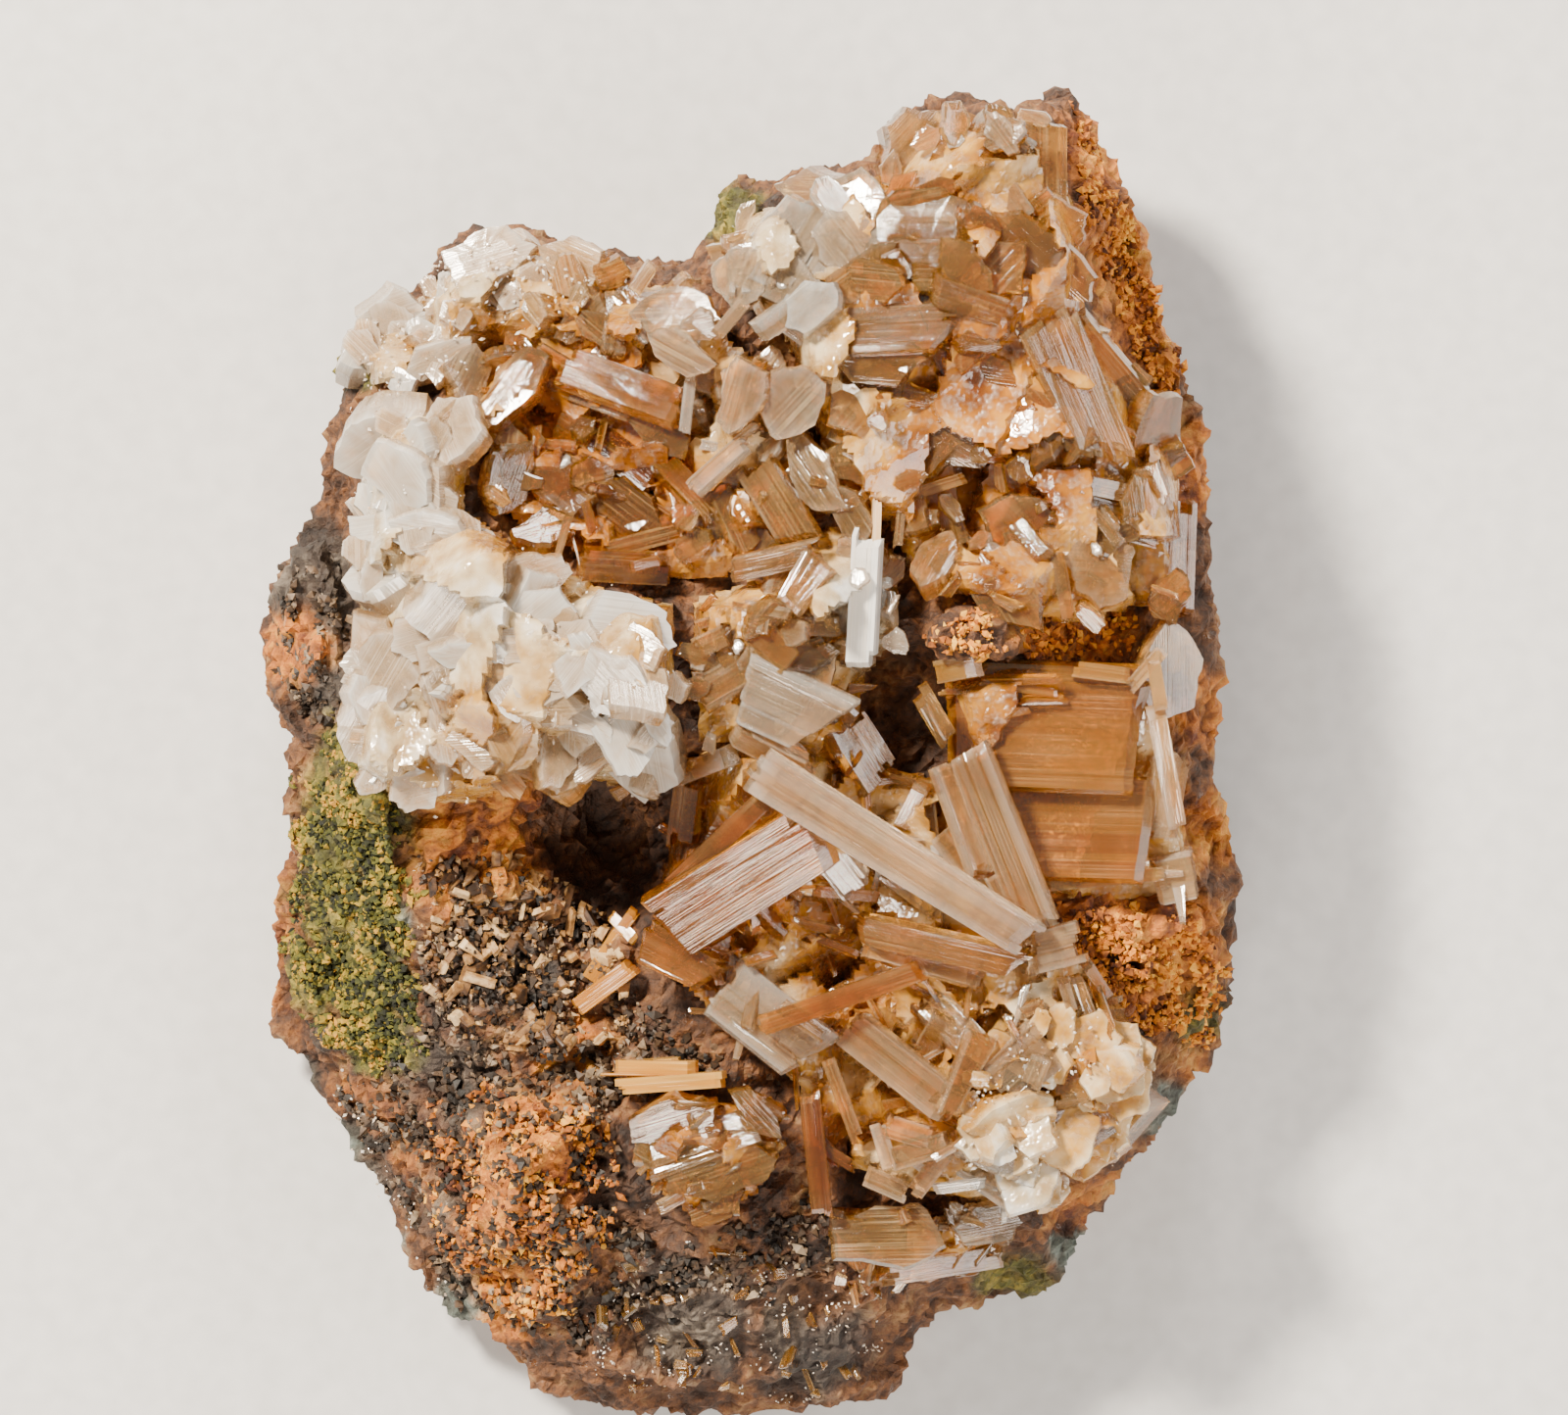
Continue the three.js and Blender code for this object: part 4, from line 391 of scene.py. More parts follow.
class Ground:
    """Height of the rock's face, read from its solid."""

    def __init__(self, thing):
        mesh = thing.data
        points = [v.co / MM for v in mesh.vertices]
        faces = [list(p.vertices) for p in mesh.polygons]
        self.tree = BVHTree.FromPolygons(points, faces)

    def at(self, x, y):
        for _ in range(12):
            hit = self.tree.ray_cast(Vector((x, y, 60)), Vector((0, 0, -1)))[0]
            if hit is not None:
                return hit.z
            x *= 0.985
            y *= 0.985
        return 8.0


def inside(outline, x, y):
    """Whether a point is inside an outline."""
    held = False
    j = len(outline) - 1
    for i, (xi, yi) in enumerate(outline):
        xj, yj = outline[j]
        if (yi > y) != (yj > y) and x < (xj - xi) * (y - yi) / (yj - yi) + xi:
            held = not held
        j = i
    return held


def box_of(outline):
    """Lowest and highest x of an outline, then lowest and highest y."""
    xs = [p[0] for p in outline]
    ys = [p[1] for p in outline]
    return min(xs), max(xs), min(ys), max(ys)


def scattered(outline, count, rng):
    """Random places inside an outline."""
    lo_x, hi_x, lo_y, hi_y = box_of(outline)
    made = 0
    while made < count:
        x = rng.uniform(lo_x, hi_x)
        y = rng.uniform(lo_y, hi_y)
        if inside(outline, x, y):
            made += 1
            yield x, y


def edge_distance(outline, x, y):
    """Distance from a point to an outline."""
    best = 1e9
    for (ax, ay), (bx, by) in zip(outline, outline[1:] + outline[:1]):
        dx, dy = bx - ax, by - ay
        t = max(0.0, min(1.0, ((x - ax) * dx + (y - ay) * dy) / (dx * dx + dy * dy)))
        best = min(best, math.hypot(x - ax - t * dx, y - ay - t * dy))
    return best


def clamped(value):
    return min(1.0, max(0.0, value))


# Crystals


def shade_at(x, y):
    """Tone of the crystals around a place."""
    total = 0.0
    weight = 0.0
    for sx, sy, tone in CRYSTAL_SHADES:
        near = 1.0 / ((x - sx) ** 2 + (y - sy) ** 2 + 0.6) ** 2
        total += tone * near
        weight += near
    return total / weight


def strip_profile(width, thick, rng, calm):
    """Places across a blade and their heights: flat lanes with small steps between them."""
    lanes = max(3, min(12, int(width / STRIP)))
    depth = min(0.1 * thick, 0.05)
    if calm:
        lanes = max(3, lanes // 2)
        depth *= 0.4
    cuts = sorted(rng.uniform(-0.86, 0.86) for _ in range(lanes - 1))
    cuts = [-0.93] + cuts + [0.93]
    across = [-1.0]
    heights = [-0.4 * thick]
    lane_of = [0]
    for lane in range(lanes):
        level = -rng.random() ** 2 * depth
        across += [cuts[lane], cuts[lane + 1]]
        heights += [level, level]
        lane_of += [lane, lane]
    across.append(1.0)
    heights.append(-0.4 * thick)
    lane_of.append(lanes - 1)
    return across, heights, lane_of, lanes


def lane_ends(lanes, reach, rng):
    """How far each lane falls short of the blade's end: a slanting break with chips."""
    slope = rng.uniform(-0.7, 0.7) * reach
    ends = []
    level = 0.0
    for lane in range(lanes):
        if rng.random() < 0.3:
            level = reach * rng.random() ** 2
        ends.append(max(0.0, level + slope * (lane / lanes - 0.5) + 0.5 * abs(slope)))
    return ends


def add_blade(out, start, end, width, thick, roll, taper, slant, tone, rng, ragged=0.5, calm=False):
    """One tabular crystal between two points, lengthwise striated, with chipped ends and pale edges."""
    start, end = Vector(start), Vector(end)
    length = (end - start).length
    along = (end - start).normalized()
    side = Vector((0, 0, 1)).cross(along)
    if side.length < 1e-4:
        side = Vector((1, 0, 0))
    side.normalize()
    turn = math.radians(roll)
    up = along.cross(side)
    side, up = side * math.cos(turn) + up * math.sin(turn), up * math.cos(turn) - side * math.sin(turn)
    across, heights, lane_of, lanes = strip_profile(width, thick, rng, calm)
    reach = min(ragged, 0.16 * length)
    near = lane_ends(lanes, reach, rng)
    far = lane_ends(lanes, reach, rng)
    rows = 6 if length > 3 else 4
    columns = len(across)
    wave = [[rng.uniform(-0.015, 0.015) for _ in range(columns)] for _ in range(rows)]
    lane_tone = [rng.uniform(-0.07, 0.07) for _ in range(lanes)]
    offset = rng.uniform(0, 50)
    tips = (rng.uniform(0.1, 0.6) * thick, rng.uniform(0.1, 0.6) * thick)
    points = []
    grain = []
    tones = []
    for layer in (0, 1):
        for c in range(columns):
            u = across[c]
            lo = near[lane_of[c]] - 0.5 * slant * u
            hi = length - far[lane_of[c]] + slant * u
            for r in range(rows):
                part = (0.0, 0.05, 0.35, 0.65, 0.95, 1.0)[r] if rows == 6 else (0.0, 0.1, 0.9, 1.0)[r]
                s = lo + (hi - lo) * part
                wide = 0.5 * width * (1 + (taper - 1) * part)
                tip = tips[0] if r == 0 else tips[1] if r == rows - 1 else 0.0
                if layer == 0:
                    z = max(heights[c] + wave[r][c] - tip, -0.8 * thick)
                else:
                    z = -thick
                points.append(start + along * s + side * (u * wide) + up * z)
                grain.append((s + offset, u * 0.5 * width + offset, z))
                rim = 0.14 if r in (0, rows - 1) or abs(u) > 0.88 else 0.0
                tones.append(clamped(tone + lane_tone[lane_of[c]] - rim + (0.18 if layer else 0.0)))
    faces = []
    bottom = columns * rows
    for c in range(columns - 1):
        for r in range(rows - 1):
            a = c * rows + r
            faces.append((a + 1, a + rows + 1, a + rows, a))
            faces.append((bottom + a, bottom + a + rows, bottom + a + rows + 1, bottom + a + 1))
        first = c * rows
        last = first + rows - 1
        faces.append((first + rows, bottom + first + rows, bottom + first, first))
        faces.append((bottom + last, bottom + last + rows, last + rows, last))
    for r in range(rows - 1):
        right = (columns - 1) * rows + r
        faces.append((bottom + r, bottom + r + 1, r + 1, r))
        faces.append((right + 1, bottom + right + 1, bottom + right, right))
    out.add(points, faces, grain, tones)


def add_rows(out, ground, rows, spread, rng, ragged=0.7, calm=False):
    """The crystals of a list, each with its own shade around that of its place."""
    for row in rows:
        ax, ay, lift_a, bx, by, lift_b, width, thick, roll, *rest = row
        taper, slant = (rest + [1, 0][len(rest):])[:2]
        start = (ax, ay, ground.at(ax, ay) + LIFT_SCALE * lift_a)
        end = (bx, by, ground.at(bx, by) + LIFT_SCALE * lift_b)
        shade = clamped(shade_at((ax + bx) / 2, (ay + by) / 2) + rng.uniform(-spread, spread))
        add_blade(out, start, end, width, thick, roll, taper, slant, shade, rng, ragged, calm)


def add_small(out, ground, outline, count, size, lift, spread, rng, azimuth=0, sway=180, tilt=40):
    """Small crystals scattered over an outline, half sunk in their crust."""
    for x, y in scattered(outline, count, rng):
        length = rng.uniform(*size[0])
        width = rng.uniform(*size[1])
        thick = rng.uniform(*size[2])
        turn = math.radians(azimuth + rng.uniform(-sway, sway))
        pitch = math.radians(rng.uniform(-tilt, tilt))
        z = ground.at(x, y) + rng.uniform(*lift)
        flat = math.cos(pitch)
        half = Vector((math.cos(turn) * flat, math.sin(turn) * flat, math.sin(pitch))) * length / 2
        middle = Vector((x, y, z))
        shade = clamped(shade_at(x, y) + rng.uniform(-spread, spread))
        add_blade(out, middle - half, middle + half, width, thick, rng.uniform(-45, 45),
                  rng.choice((1, 1, 0.7, 0.4)), rng.uniform(-0.3, 0.3) * width, shade, rng, 0.3)


def add_plate(out, centre, turn, tilt, lean, long, wide, thick, tone, rng, bow=0.07):
    """One broken tabular plate of irregular outline with bevelled pale edges."""
    count = rng.choice((5, 6, 6, 7))
    first = rng.uniform(0, math.tau)
    corners = []
    for k in range(count):
        angle = first + math.tau * (k + rng.uniform(-0.3, 0.3)) / count
        reach = rng.uniform(0.84, 1.12)
        corners.append(Vector((math.cos(angle) * reach * long / 2, math.sin(angle) * reach * wide / 2)))
    rim = []
    for a, b in zip(corners, corners[1:] + corners[:1]):
        curve = rng.uniform(-bow, bow) * (b - a).length
        normal = Vector((b.y - a.y, a.x - b.x)).normalized()
        for t in (0.0, 0.2, 0.4, 0.6, 0.8):
            sway = curve * 4 * t * (1 - t) + (rng.uniform(-0.025, 0.025) * wide if t else 0.0)
            rim.append(a.lerp(b, t) + normal * sway)
    frame_up = Vector((math.sin(tilt) * math.cos(lean), math.sin(tilt) * math.sin(lean), math.cos(tilt)))
    along = Vector((math.cos(turn), math.sin(turn), 0))
    along = (along - frame_up * along.dot(frame_up)).normalized()
    side = frame_up.cross(along)
    rings = [(0.86, -thick, 0.2), (1.0, -0.3 * thick, 0.04), (0.95, 0.0, -0.12), (0.62, 0.03, 0.0)]
    size = len(rim)
    points = []
    grain = []
    tones = []
    offset = rng.uniform(0, 50)
    for scale, level, paler in rings:
        for p in rim:
            z = level + (rng.uniform(-0.004, 0.004) if level >= 0 else 0.0)
            points.append(centre + along * (p.x * scale) + side * (p.y * scale) + frame_up * z)
            grain.append((p.x * scale + offset, p.y * scale + offset, z))
            tones.append(clamped(tone + paler + rng.uniform(-0.05, 0.05)))
    for level in (0.03, -thick):
        points.append(centre + frame_up * level)
        grain.append((offset, offset, level))
        tones.append(clamped(tone))
    faces = []
    for ring in range(3):
        for k in range(size):
            n = (k + 1) % size
            faces.append((ring * size + k, ring * size + n, (ring + 1) * size + n, (ring + 1) * size + k))
    top = 4 * size
    for k in range(size):
        n = (k + 1) % size
        faces.append((3 * size + k, 3 * size + n, top))
        faces.append((n, k, top + 1))
    out.add(points, faces, grain, tones)


def add_plates(out, ground, outline, count, long, thick, lift, tilt, spread, rng):
    """Broken plates shingled over an outline."""
    for x, y in scattered(outline, count, rng):
        length = rng.uniform(*long)
        room = 0.6 + edge_distance(outline, x, y)
        length = min(length, 2.2 * room)
        heading = rng.uniform(-math.pi, math.pi)
        centre = Vector((x, y, ground.at(x, y) + rng.uniform(*lift)))
        shade = clamped(shade_at(x, y) + rng.uniform(-spread, spread))
        add_plate(out, centre, heading, abs(rng.gauss(0, tilt)), rng.uniform(0, math.tau), length,
                  length * rng.uniform(0.45, 0.9), rng.uniform(*thick), shade, rng)


def add_broken(out, ground, rows, spread, rng):
    """The crystals of a list, the short wide ones as broken plates sunk in their crust."""
    slim = []
    for row in rows:
        ax, ay, lift_a, bx, by, lift_b, width, thick, roll = row[:9]
        length = math.hypot(bx - ax, by - ay)
        if length > PLATE_RATIO * width:
            slim.append(row)
            continue
        a = ground.at(ax, ay) + LIFT_SCALE * lift_a + PLATE_RISE
        b = ground.at(bx, by) + LIFT_SCALE * lift_b + PLATE_RISE
        along = Vector((bx - ax, by - ay, b - a)).normalized()
        side = Vector((-along.y, along.x, 0)).normalized()
        up = along.cross(side)
        if up.z < 0:
            up = -up
        lean_by = math.radians(roll)
        up = up * math.cos(lean_by) - side * math.sin(lean_by)
        tilt = math.acos(min(1.0, up.normalized().z))
        shade = clamped(shade_at((ax + bx) / 2, (ay + by) / 2) + rng.uniform(-spread, spread))
        centre = Vector(((ax + bx) / 2, (ay + by) / 2, (a + b) / 2))
        add_plate(out, centre, math.atan2(by - ay, bx - ax), tilt, math.atan2(up.y, up.x), length * 1.2,
                  width * 1.3, thick + PLATE_RISE, shade, rng, 0.08)
    add_rows(out, ground, slim, spread, rng)


def add_glints(out, ground, outline, rng):
    """The faces of an outline that flash towards the camera."""
    for x, y, lift, size in GLINTS:
        if inside(outline, x, y):
            centre = Vector((x, y, ground.at(x, y) + LIFT_SCALE * lift))
            add_plate(out, centre, rng.uniform(0, math.tau), GLINT_TILT + rng.uniform(-0.04, 0.04),
                      GLINT_LEAN + rng.uniform(-0.1, 0.1), size, size * 0.8, 0.35, 0.1, rng)


# Crusts and grains


def facet_heights(xs, ys, outline, cell, tilt, rng):
    """Heights of a crystalline surface: every point lies on the flat tilted face of its nearest seed."""
    lo_x, hi_x, lo_y, hi_y = box_of(outline)
    count = max(8, int((hi_x - lo_x) * (hi_y - lo_y) / (cell * cell)))
    seeds = np.array([[rng.uniform(lo_x, hi_x), rng.uniform(lo_y, hi_y)] for _ in range(count)])
    slopes = np.array([[rng.gauss(0, tilt), rng.gauss(0, tilt)] for _ in range(count)])
    levels = np.array([rng.uniform(-0.35, 0.35) for _ in range(count)]) * cell
    points = np.stack([xs, ys], 1)
    nearest = np.argmin(((points[:, None, :] - seeds[None, :, :]) ** 2).sum(2), 1)
    apart = points - seeds[nearest]
    return levels[nearest] + (apart * slopes[nearest]).sum(1), nearest


def add_crust(out, ground, outline, lift, cell, tilt, spread, rng, foot=None, lengthwise=False):
    """The broken crystalline crust over an outline, closed underneath."""
    lo_x, hi_x, lo_y, hi_y = box_of(outline)
    wide = int((hi_x - lo_x) / CRUST_STEP) + 2
    deep = int((hi_y - lo_y) / CRUST_STEP) + 2
    place = {}
    cells = []
    for j in range(deep):
        for i in range(wide):
            x = lo_x + i * CRUST_STEP
            y = lo_y + j * CRUST_STEP
            if inside(outline, x, y):
                place[(i, j)] = len(cells)
                cells.append((x + rng.uniform(-0.05, 0.05), y + rng.uniform(-0.05, 0.05)))
    xs = np.array([c[0] for c in cells])
    ys = np.array([c[1] for c in cells])
    heights, nearest = facet_heights(xs, ys, outline, cell, tilt, rng)
    shades = {}
    top = []
    under = []
    tones = []
    for k, (x, y) in enumerate(cells):
        base = ground.at(x, y)
        rise = min(1.0, edge_distance(outline, x, y) / 0.9) ** 0.5
        z = base + (lift + heights[k]) * rise - 0.3 * (1 - rise)
        low = base - 0.5 if foot is None else min(z - 0.3, max(foot, base - 0.5))
        top.append((x, y, max(min(z, TOP), low + 0.2)))
        under.append((x, y, low))
        shades.setdefault(int(nearest[k]), rng.uniform(-spread, spread))
        tones.append(clamped(shade_at(x, y) + 0.08 + shades[int(nearest[k])]))
    faces = []
    edges = {}
    for i, j in place:
        square = [place.get(key) for key in ((i, j), (i + 1, j), (i + 1, j + 1), (i, j + 1))]
        if None in square:
            continue
        faces.append(square)
        for p, q in zip(square, square[1:] + square[:1]):
            edges[(p, q)] = True
    count = len(cells)
    below = [[count + k for k in reversed(face)] for face in faces]
    walls = [[q, p, count + p, count + q] for p, q in edges if (q, p) not in edges]
    if lengthwise:
        grain = [(x, y, z) for x, y, z in top + under]
    else:
        grain = [(x * 0.9 + z, y * 0.9 - z, z) for x, y, z in top + under]
    out.add(top + under, faces + below + walls, grain, tones + tones)


def build_bed(name, ground, outline, shape, rng, material, node, slot, foot=None, lengthwise=False):
    """The crust of one growth; shape is its lift, cell, tilt and spread of shade."""
    bed = Pieces()
    add_crust(bed, ground, outline, *shape, rng, foot, lengthwise)
    bed.build(name + "_bed", material, [node], slot)


def add_grains(out, ground, outline, count, size, lift, tone, spread, rng, gap=-1.0):
    """Fine eight-faced grains over an outline with ragged edges, none where the noise is under the gap."""
    lo_x, hi_x, lo_y, hi_y = box_of(outline)
    made = 0
    while made < count:
        x = rng.uniform(lo_x - GRAIN_MARGIN, hi_x + GRAIN_MARGIN)
        y = rng.uniform(lo_y - GRAIN_MARGIN, hi_y + GRAIN_MARGIN)
        broad = noise.noise(Vector((x * 0.8, y * 0.8, 1)))
        fine = noise.noise(Vector((x * 2.6, y * 2.6, 5)))
        shift = 1.1 * broad + 0.5 * fine
        if not inside(outline, x + shift, y - shift):
            continue
        made += 1
        if noise.noise(Vector((x * 0.9, y * 0.9, 3))) < gap:
            continue
        radius = rng.uniform(*size)
        centre = Vector((x, y, ground.at(x, y) + rng.uniform(*lift)))
        axis = Vector((rng.gauss(0, 1), rng.gauss(0, 1), rng.gauss(0, 1) + 0.6)).normalized()
        u = axis.orthogonal().normalized()
        v = axis.cross(u)
        tall = radius * rng.uniform(0.9, 1.9)
        ring = [u, v, -u, -v]
        points = [centre + d * radius * rng.uniform(0.7, 1.2) for d in ring]
        points += [centre + axis * tall, centre - axis * tall]
        faces = [(k, (k + 1) % 4, 4) for k in range(4)] + [((k + 1) % 4, k, 5) for k in range(4)]
        shade = clamped(tone + rng.uniform(-spread, spread))
        out.add(points, faces, [tuple(p) for p in points], shade)


# Rock


def rock_mesh(solid):
    """The rock's solid as an even fine mesh."""
    copy = bpy.data.objects.new("rock_start", solid.data.copy())
    bpy.context.scene.collection.objects.link(copy)
    remesh = copy.modifiers.new("even", "REMESH")
    remesh.mode = "VOXEL"
    remesh.voxel_size = ROCK_VOXEL * MM
    bpy.context.view_layer.update()
    graph = bpy.context.evaluated_depsgraph_get()
    mesh = bpy.data.meshes.new_from_object(copy.evaluated_get(graph))
    bpy.data.objects.remove(copy)
    return mesh


def patch_shares(x, y, z):
    """How much of each kind of ground there is at a place; the flanks lose the patches of the top."""
    shares = dict.fromkeys(ROCK_PATCHES, 0.0)
    ragged = 0.9 * noise.noise(Vector((x * 0.7, y * 0.7, z * 0.7)))
    ragged += 0.5 * noise.noise(Vector((x * 2.3, y * 2.3, z * 2)))
    low = clamped((9.5 - z) / 6.0) if y > -20.0 else clamped((4.0 - z) / 3.0)
    broad = noise.noise(Vector((x * 0.16, y * 0.16, z * 0.3 + 7)))
    blur = 0.45 * ragged + low * (0.9 + 1.6 * broad)
    for kind, patches in ROCK_PATCHES.items():
        nearest = min(math.hypot(x - px, y - py) / radius for px, py, radius in patches)
        shares[kind] = clamped((1.25 - nearest - blur) / 0.5)
    for kind, step in FLANK_CLOUDS:
        cloud = noise.noise(Vector((x * 0.2 + step, y * 0.2, z * 0.24))) + 0.25 * ragged
        shares[kind] = max(shares[kind], low * clamped(4.0 * cloud - 0.5))
    return shares


def carve_rock(mesh):
    """Lumps, pits and grit on the fine rock mesh, the shares of each kind of ground, and the painted shade
    of its cracks and pits.
    """
    shares = {kind: np.zeros(len(mesh.vertices)) for kind in ROCK_PATCHES}
    crevice_shade = np.zeros(len(mesh.vertices))
    normals = [v.normal.copy() for v in mesh.vertices]
    for k, vertex in enumerate(mesh.vertices):
        p = vertex.co / MM
        here = patch_shares(p.x, p.y, p.z)
        for kind, share in here.items():
            shares[kind][k] = share
        if p.z < 0.25:
            continue
        foot = min(1.0, (p.z - 0.25) / 1.5)
        lump = noise.noise(p * 0.55) * ROCK_LUMP + noise.noise(p * 1.2 + Vector((9, 3, 1))) * 0.34
        grit = noise.noise(p * 2.9 + Vector((3, 8, 5))) * ROCK_GRIT
        cells = noise.voronoi(p * (1.5 + 0.9 * here["moss"]))[0]
        edge = cells[1] - cells[0]
        broken = min(edge, 0.55) * (0.5 + 0.15 * here["moss"]) - 0.14
        # Painted shade: darker along the cracks between cells and in the pits of the lumps and grit.
        crevice_shade[k] = clamped(1.0 - 4.0 * edge) * 0.8 + clamped(-2.2 * (lump + grit))
        vertex.co += normals[k] * (lump + grit + broken - 0.5 * here["dark_earth_and_shade"]) * foot * MM
    shares["crevice_shade"] = np.clip(crevice_shade, 0, 1)
    for kind, values in shares.items():
        layer = mesh.attributes.new(kind, "FLOAT", "POINT")
        layer.data.foreach_set("value", values)
    return mesh


# Materials

# Stops of colour by tone, pale to deep, for the crystals and for the crusts under them.
CRYSTAL_TONES = [
    (0.0, (0.86, 0.84, 0.79)), (0.18, (0.88, 0.69, 0.49)), (0.45, (0.86, 0.48, 0.11)),
    (0.7, (0.76, 0.32, 0.022)), (1.0, (0.5, 0.13, 0.005)),
]
CRUST_TONES = [
    (0.0, (0.82, 0.79, 0.73)), (0.18, (0.84, 0.66, 0.4)), (0.45, (0.74, 0.38, 0.07)),
    (0.7, (0.56, 0.2, 0.012)), (1.0, (0.34, 0.08, 0.004)),
]

# Crystal looks: clear and cloudy see-through shares, roughness, milkiness, tint and density of the
# depth, see-through share of the palest tone, strength of the silky streaks and their colour.
CRYSTAL_LOOKS = {
    "white": (0.85, 0.45, 0.12, 0.08, (0.9, 0.8, 0.7), 0.0, 0.6, 0.5, (0.86, 0.8, 0.72)),
    "honey": (0.95, 0.65, 0.07, 0.0, (0.95, 0.6, 0.2), 160.0, 0.85, 0.5, (0.93, 0.72, 0.4)),
    "peach": (0.94, 0.72, 0.06, 0.0, (0.96, 0.68, 0.3), 160.0, 0.8, 0.48, (0.92, 0.73, 0.47)),
    "silver": (0.25, 0.1, 0.06, 0.2, (0.9, 0.8, 0.7), 0.0, 0.8, 0.7, (0.95, 0.92, 0.86)),
    "amber": (0.85, 0.6, 0.09, 0.0, (0.94, 0.56, 0.2), 160.0, 0.8, 0.42, (0.86, 0.56, 0.28)),
    "golden": (0.45, 0.2, 0.12, 0.0, (0.94, 0.56, 0.2), 0.0, 0.8, 0.5, (0.92, 0.66, 0.3)),
    "clear": (0.95, 0.6, 0.07, 0.0, (0.9, 0.8, 0.7), 260.0, 0.95, 0.6, (0.9, 0.78, 0.6)),
}
CRYSTAL_INDEX = 1.9
GRAIN_INDEX = 2.0

# Stops of colour from pits to crests in each kind of ground, laid over the earth in this order.
EARTH_TONES = [
    (0.36, (0.016, 0.007, 0.004)), (0.46, (0.07, 0.027, 0.01)), (0.54, (0.18, 0.066, 0.018)),
    (0.66, (0.32, 0.18, 0.07)),
]
GROUND_TONES = {
    "grey": [(0.36, (0.01, 0.007, 0.006)), (0.5, (0.05, 0.036, 0.027)), (0.66, (0.2, 0.16, 0.12))],
    "ochre": [(0.36, (0.14, 0.026, 0.003)), (0.5, (0.52, 0.16, 0.012)), (0.66, (0.74, 0.36, 0.045))],
    "blue": [(0.36, (0.02, 0.026, 0.022)), (0.5, (0.1, 0.12, 0.1)), (0.66, (0.28, 0.32, 0.28))],
    "moss": [(0.36, (0.015, 0.016, 0.003)), (0.5, (0.09, 0.085, 0.009)), (0.64, (0.34, 0.25, 0.03))],
    # Dark earth, also laid as painted shade in the hollow and the fan's gap.
    "dark_earth_and_shade": [(0.36, (0.012, 0.005, 0.003)), (0.54, (0.1, 0.04, 0.014)), (0.7, (0.32, 0.14, 0.05))],
}
# Colour of the painted shade in the rock's cracks and pits.
CREVICE_SHADE_COLOUR = (0.025, 0.011, 0.006)

# Stops of colour by tone and the roughness of each kind of earthy grain.
MOSS_GRAIN = [
    (0.0, (0.008, 0.009, 0.003)), (0.35, (0.035, 0.04, 0.005)), (0.6, (0.12, 0.11, 0.009)),
    (0.8, (0.3, 0.2, 0.014)), (1.0, (0.5, 0.24, 0.02)),
], 0.85
OCHRE_GRAIN = [
    (0.0, (0.06, 0.014, 0.003)), (0.35, (0.34, 0.095, 0.006)), (0.7, (0.68, 0.24, 0.014)),
    (1.0, (0.78, 0.4, 0.05)),
], 0.85
EARTHY_CHIP = [
    (0.0, (0.02, 0.009, 0.004)), (0.4, (0.12, 0.052, 0.016)), (0.7, (0.3, 0.15, 0.045)),
    (1.0, (0.58, 0.4, 0.2)),
], 0.5
BROWN_GRAIN = [
    (0.0, (0.008, 0.005, 0.003)), (0.45, (0.035, 0.018, 0.008)), (0.75, (0.1, 0.056, 0.028)),
    (1.0, (0.26, 0.19, 0.12)),
], 0.6


class Look:
    """A material while its nodes are being joined."""

    def __init__(self, name):
        self.material = bpy.data.materials.new(name)
        self.material.use_nodes = True
        self.nodes = self.material.node_tree.nodes
        self.links = self.material.node_tree.links
        self.shader = self.nodes["Principled BSDF"]

    def put(self, socket, value):
        """Feed a socket from another node, or set it to a number or a colour."""
        if isinstance(value, bpy.types.NodeSocket):
            self.links.new(value, socket)
        elif socket.type == "RGBA":
            socket.default_value = (*value, 1)
        else:
            socket.default_value = value

    def join(self, kind, output, inputs):
        """A new node with its inputs set or fed; gives one of its outputs."""
        node = self.nodes.new(kind)
        for name, value in inputs.items():
            self.put(node.inputs[name], value)
        return node.outputs[output]

    def show(self, name, value):
        self.put(self.shader.inputs[name], value)

    def place(self):
        return self.nodes.new("ShaderNodeTexCoord").outputs["Object"]

    def layer(self, name, output="Fac"):
        node = self.nodes.new("ShaderNodeAttribute")
        node.attribute_name = name
        return node.outputs[output]

    def noise(self, vector, scale, detail, rough):
        inputs = {"Scale": scale, "Detail": detail, "Roughness": rough, "Vector": vector}
        return self.join("ShaderNodeTexNoise", "Fac", inputs)

    def stretched(self, vector, scale):
        return self.join("ShaderNodeMapping", "Vector", {"Scale": scale, "Vector": vector})

    def ramp(self, value, stops):
        node = self.nodes.new("ShaderNodeValToRGB")
        ramp = node.color_ramp
        while len(ramp.elements) < len(stops):
            ramp.elements.new(0.5)
        for element, (place, colour) in zip(ramp.elements, stops):
            element.position = place
            element.color = (*colour, 1)
        self.put(node.inputs["Fac"], value)
        return node.outputs["Color"]

    def mixed(self, share, first, second):
        node = self.nodes.new("ShaderNodeMix")
        node.data_type = "RGBA"
        for socket, value in ((0, share), (6, first), (7, second)):
            self.put(node.inputs[socket], value)
        return node.outputs[2]

    def math(self, kind, first, second, clamp=False):
        node = self.nodes.new("ShaderNodeMath")
        node.operation = kind
        node.use_clamp = clamp
        self.put(node.inputs[0], first)
        self.put(node.inputs[1], second)
        return node.outputs[0]

    def spread(self, value, low, high, to_low, to_high):
        inputs = {"From Min": low, "From Max": high, "To Min": to_low, "To Max": to_high, "Value": value}
        return self.join("ShaderNodeMapRange", "Result", inputs)

    def bump(self, height, strength, distance):
        inputs = {"Strength": strength, "Distance": distance, "Height": height}
        self.show("Normal", self.join("ShaderNodeBump", "Normal", inputs))


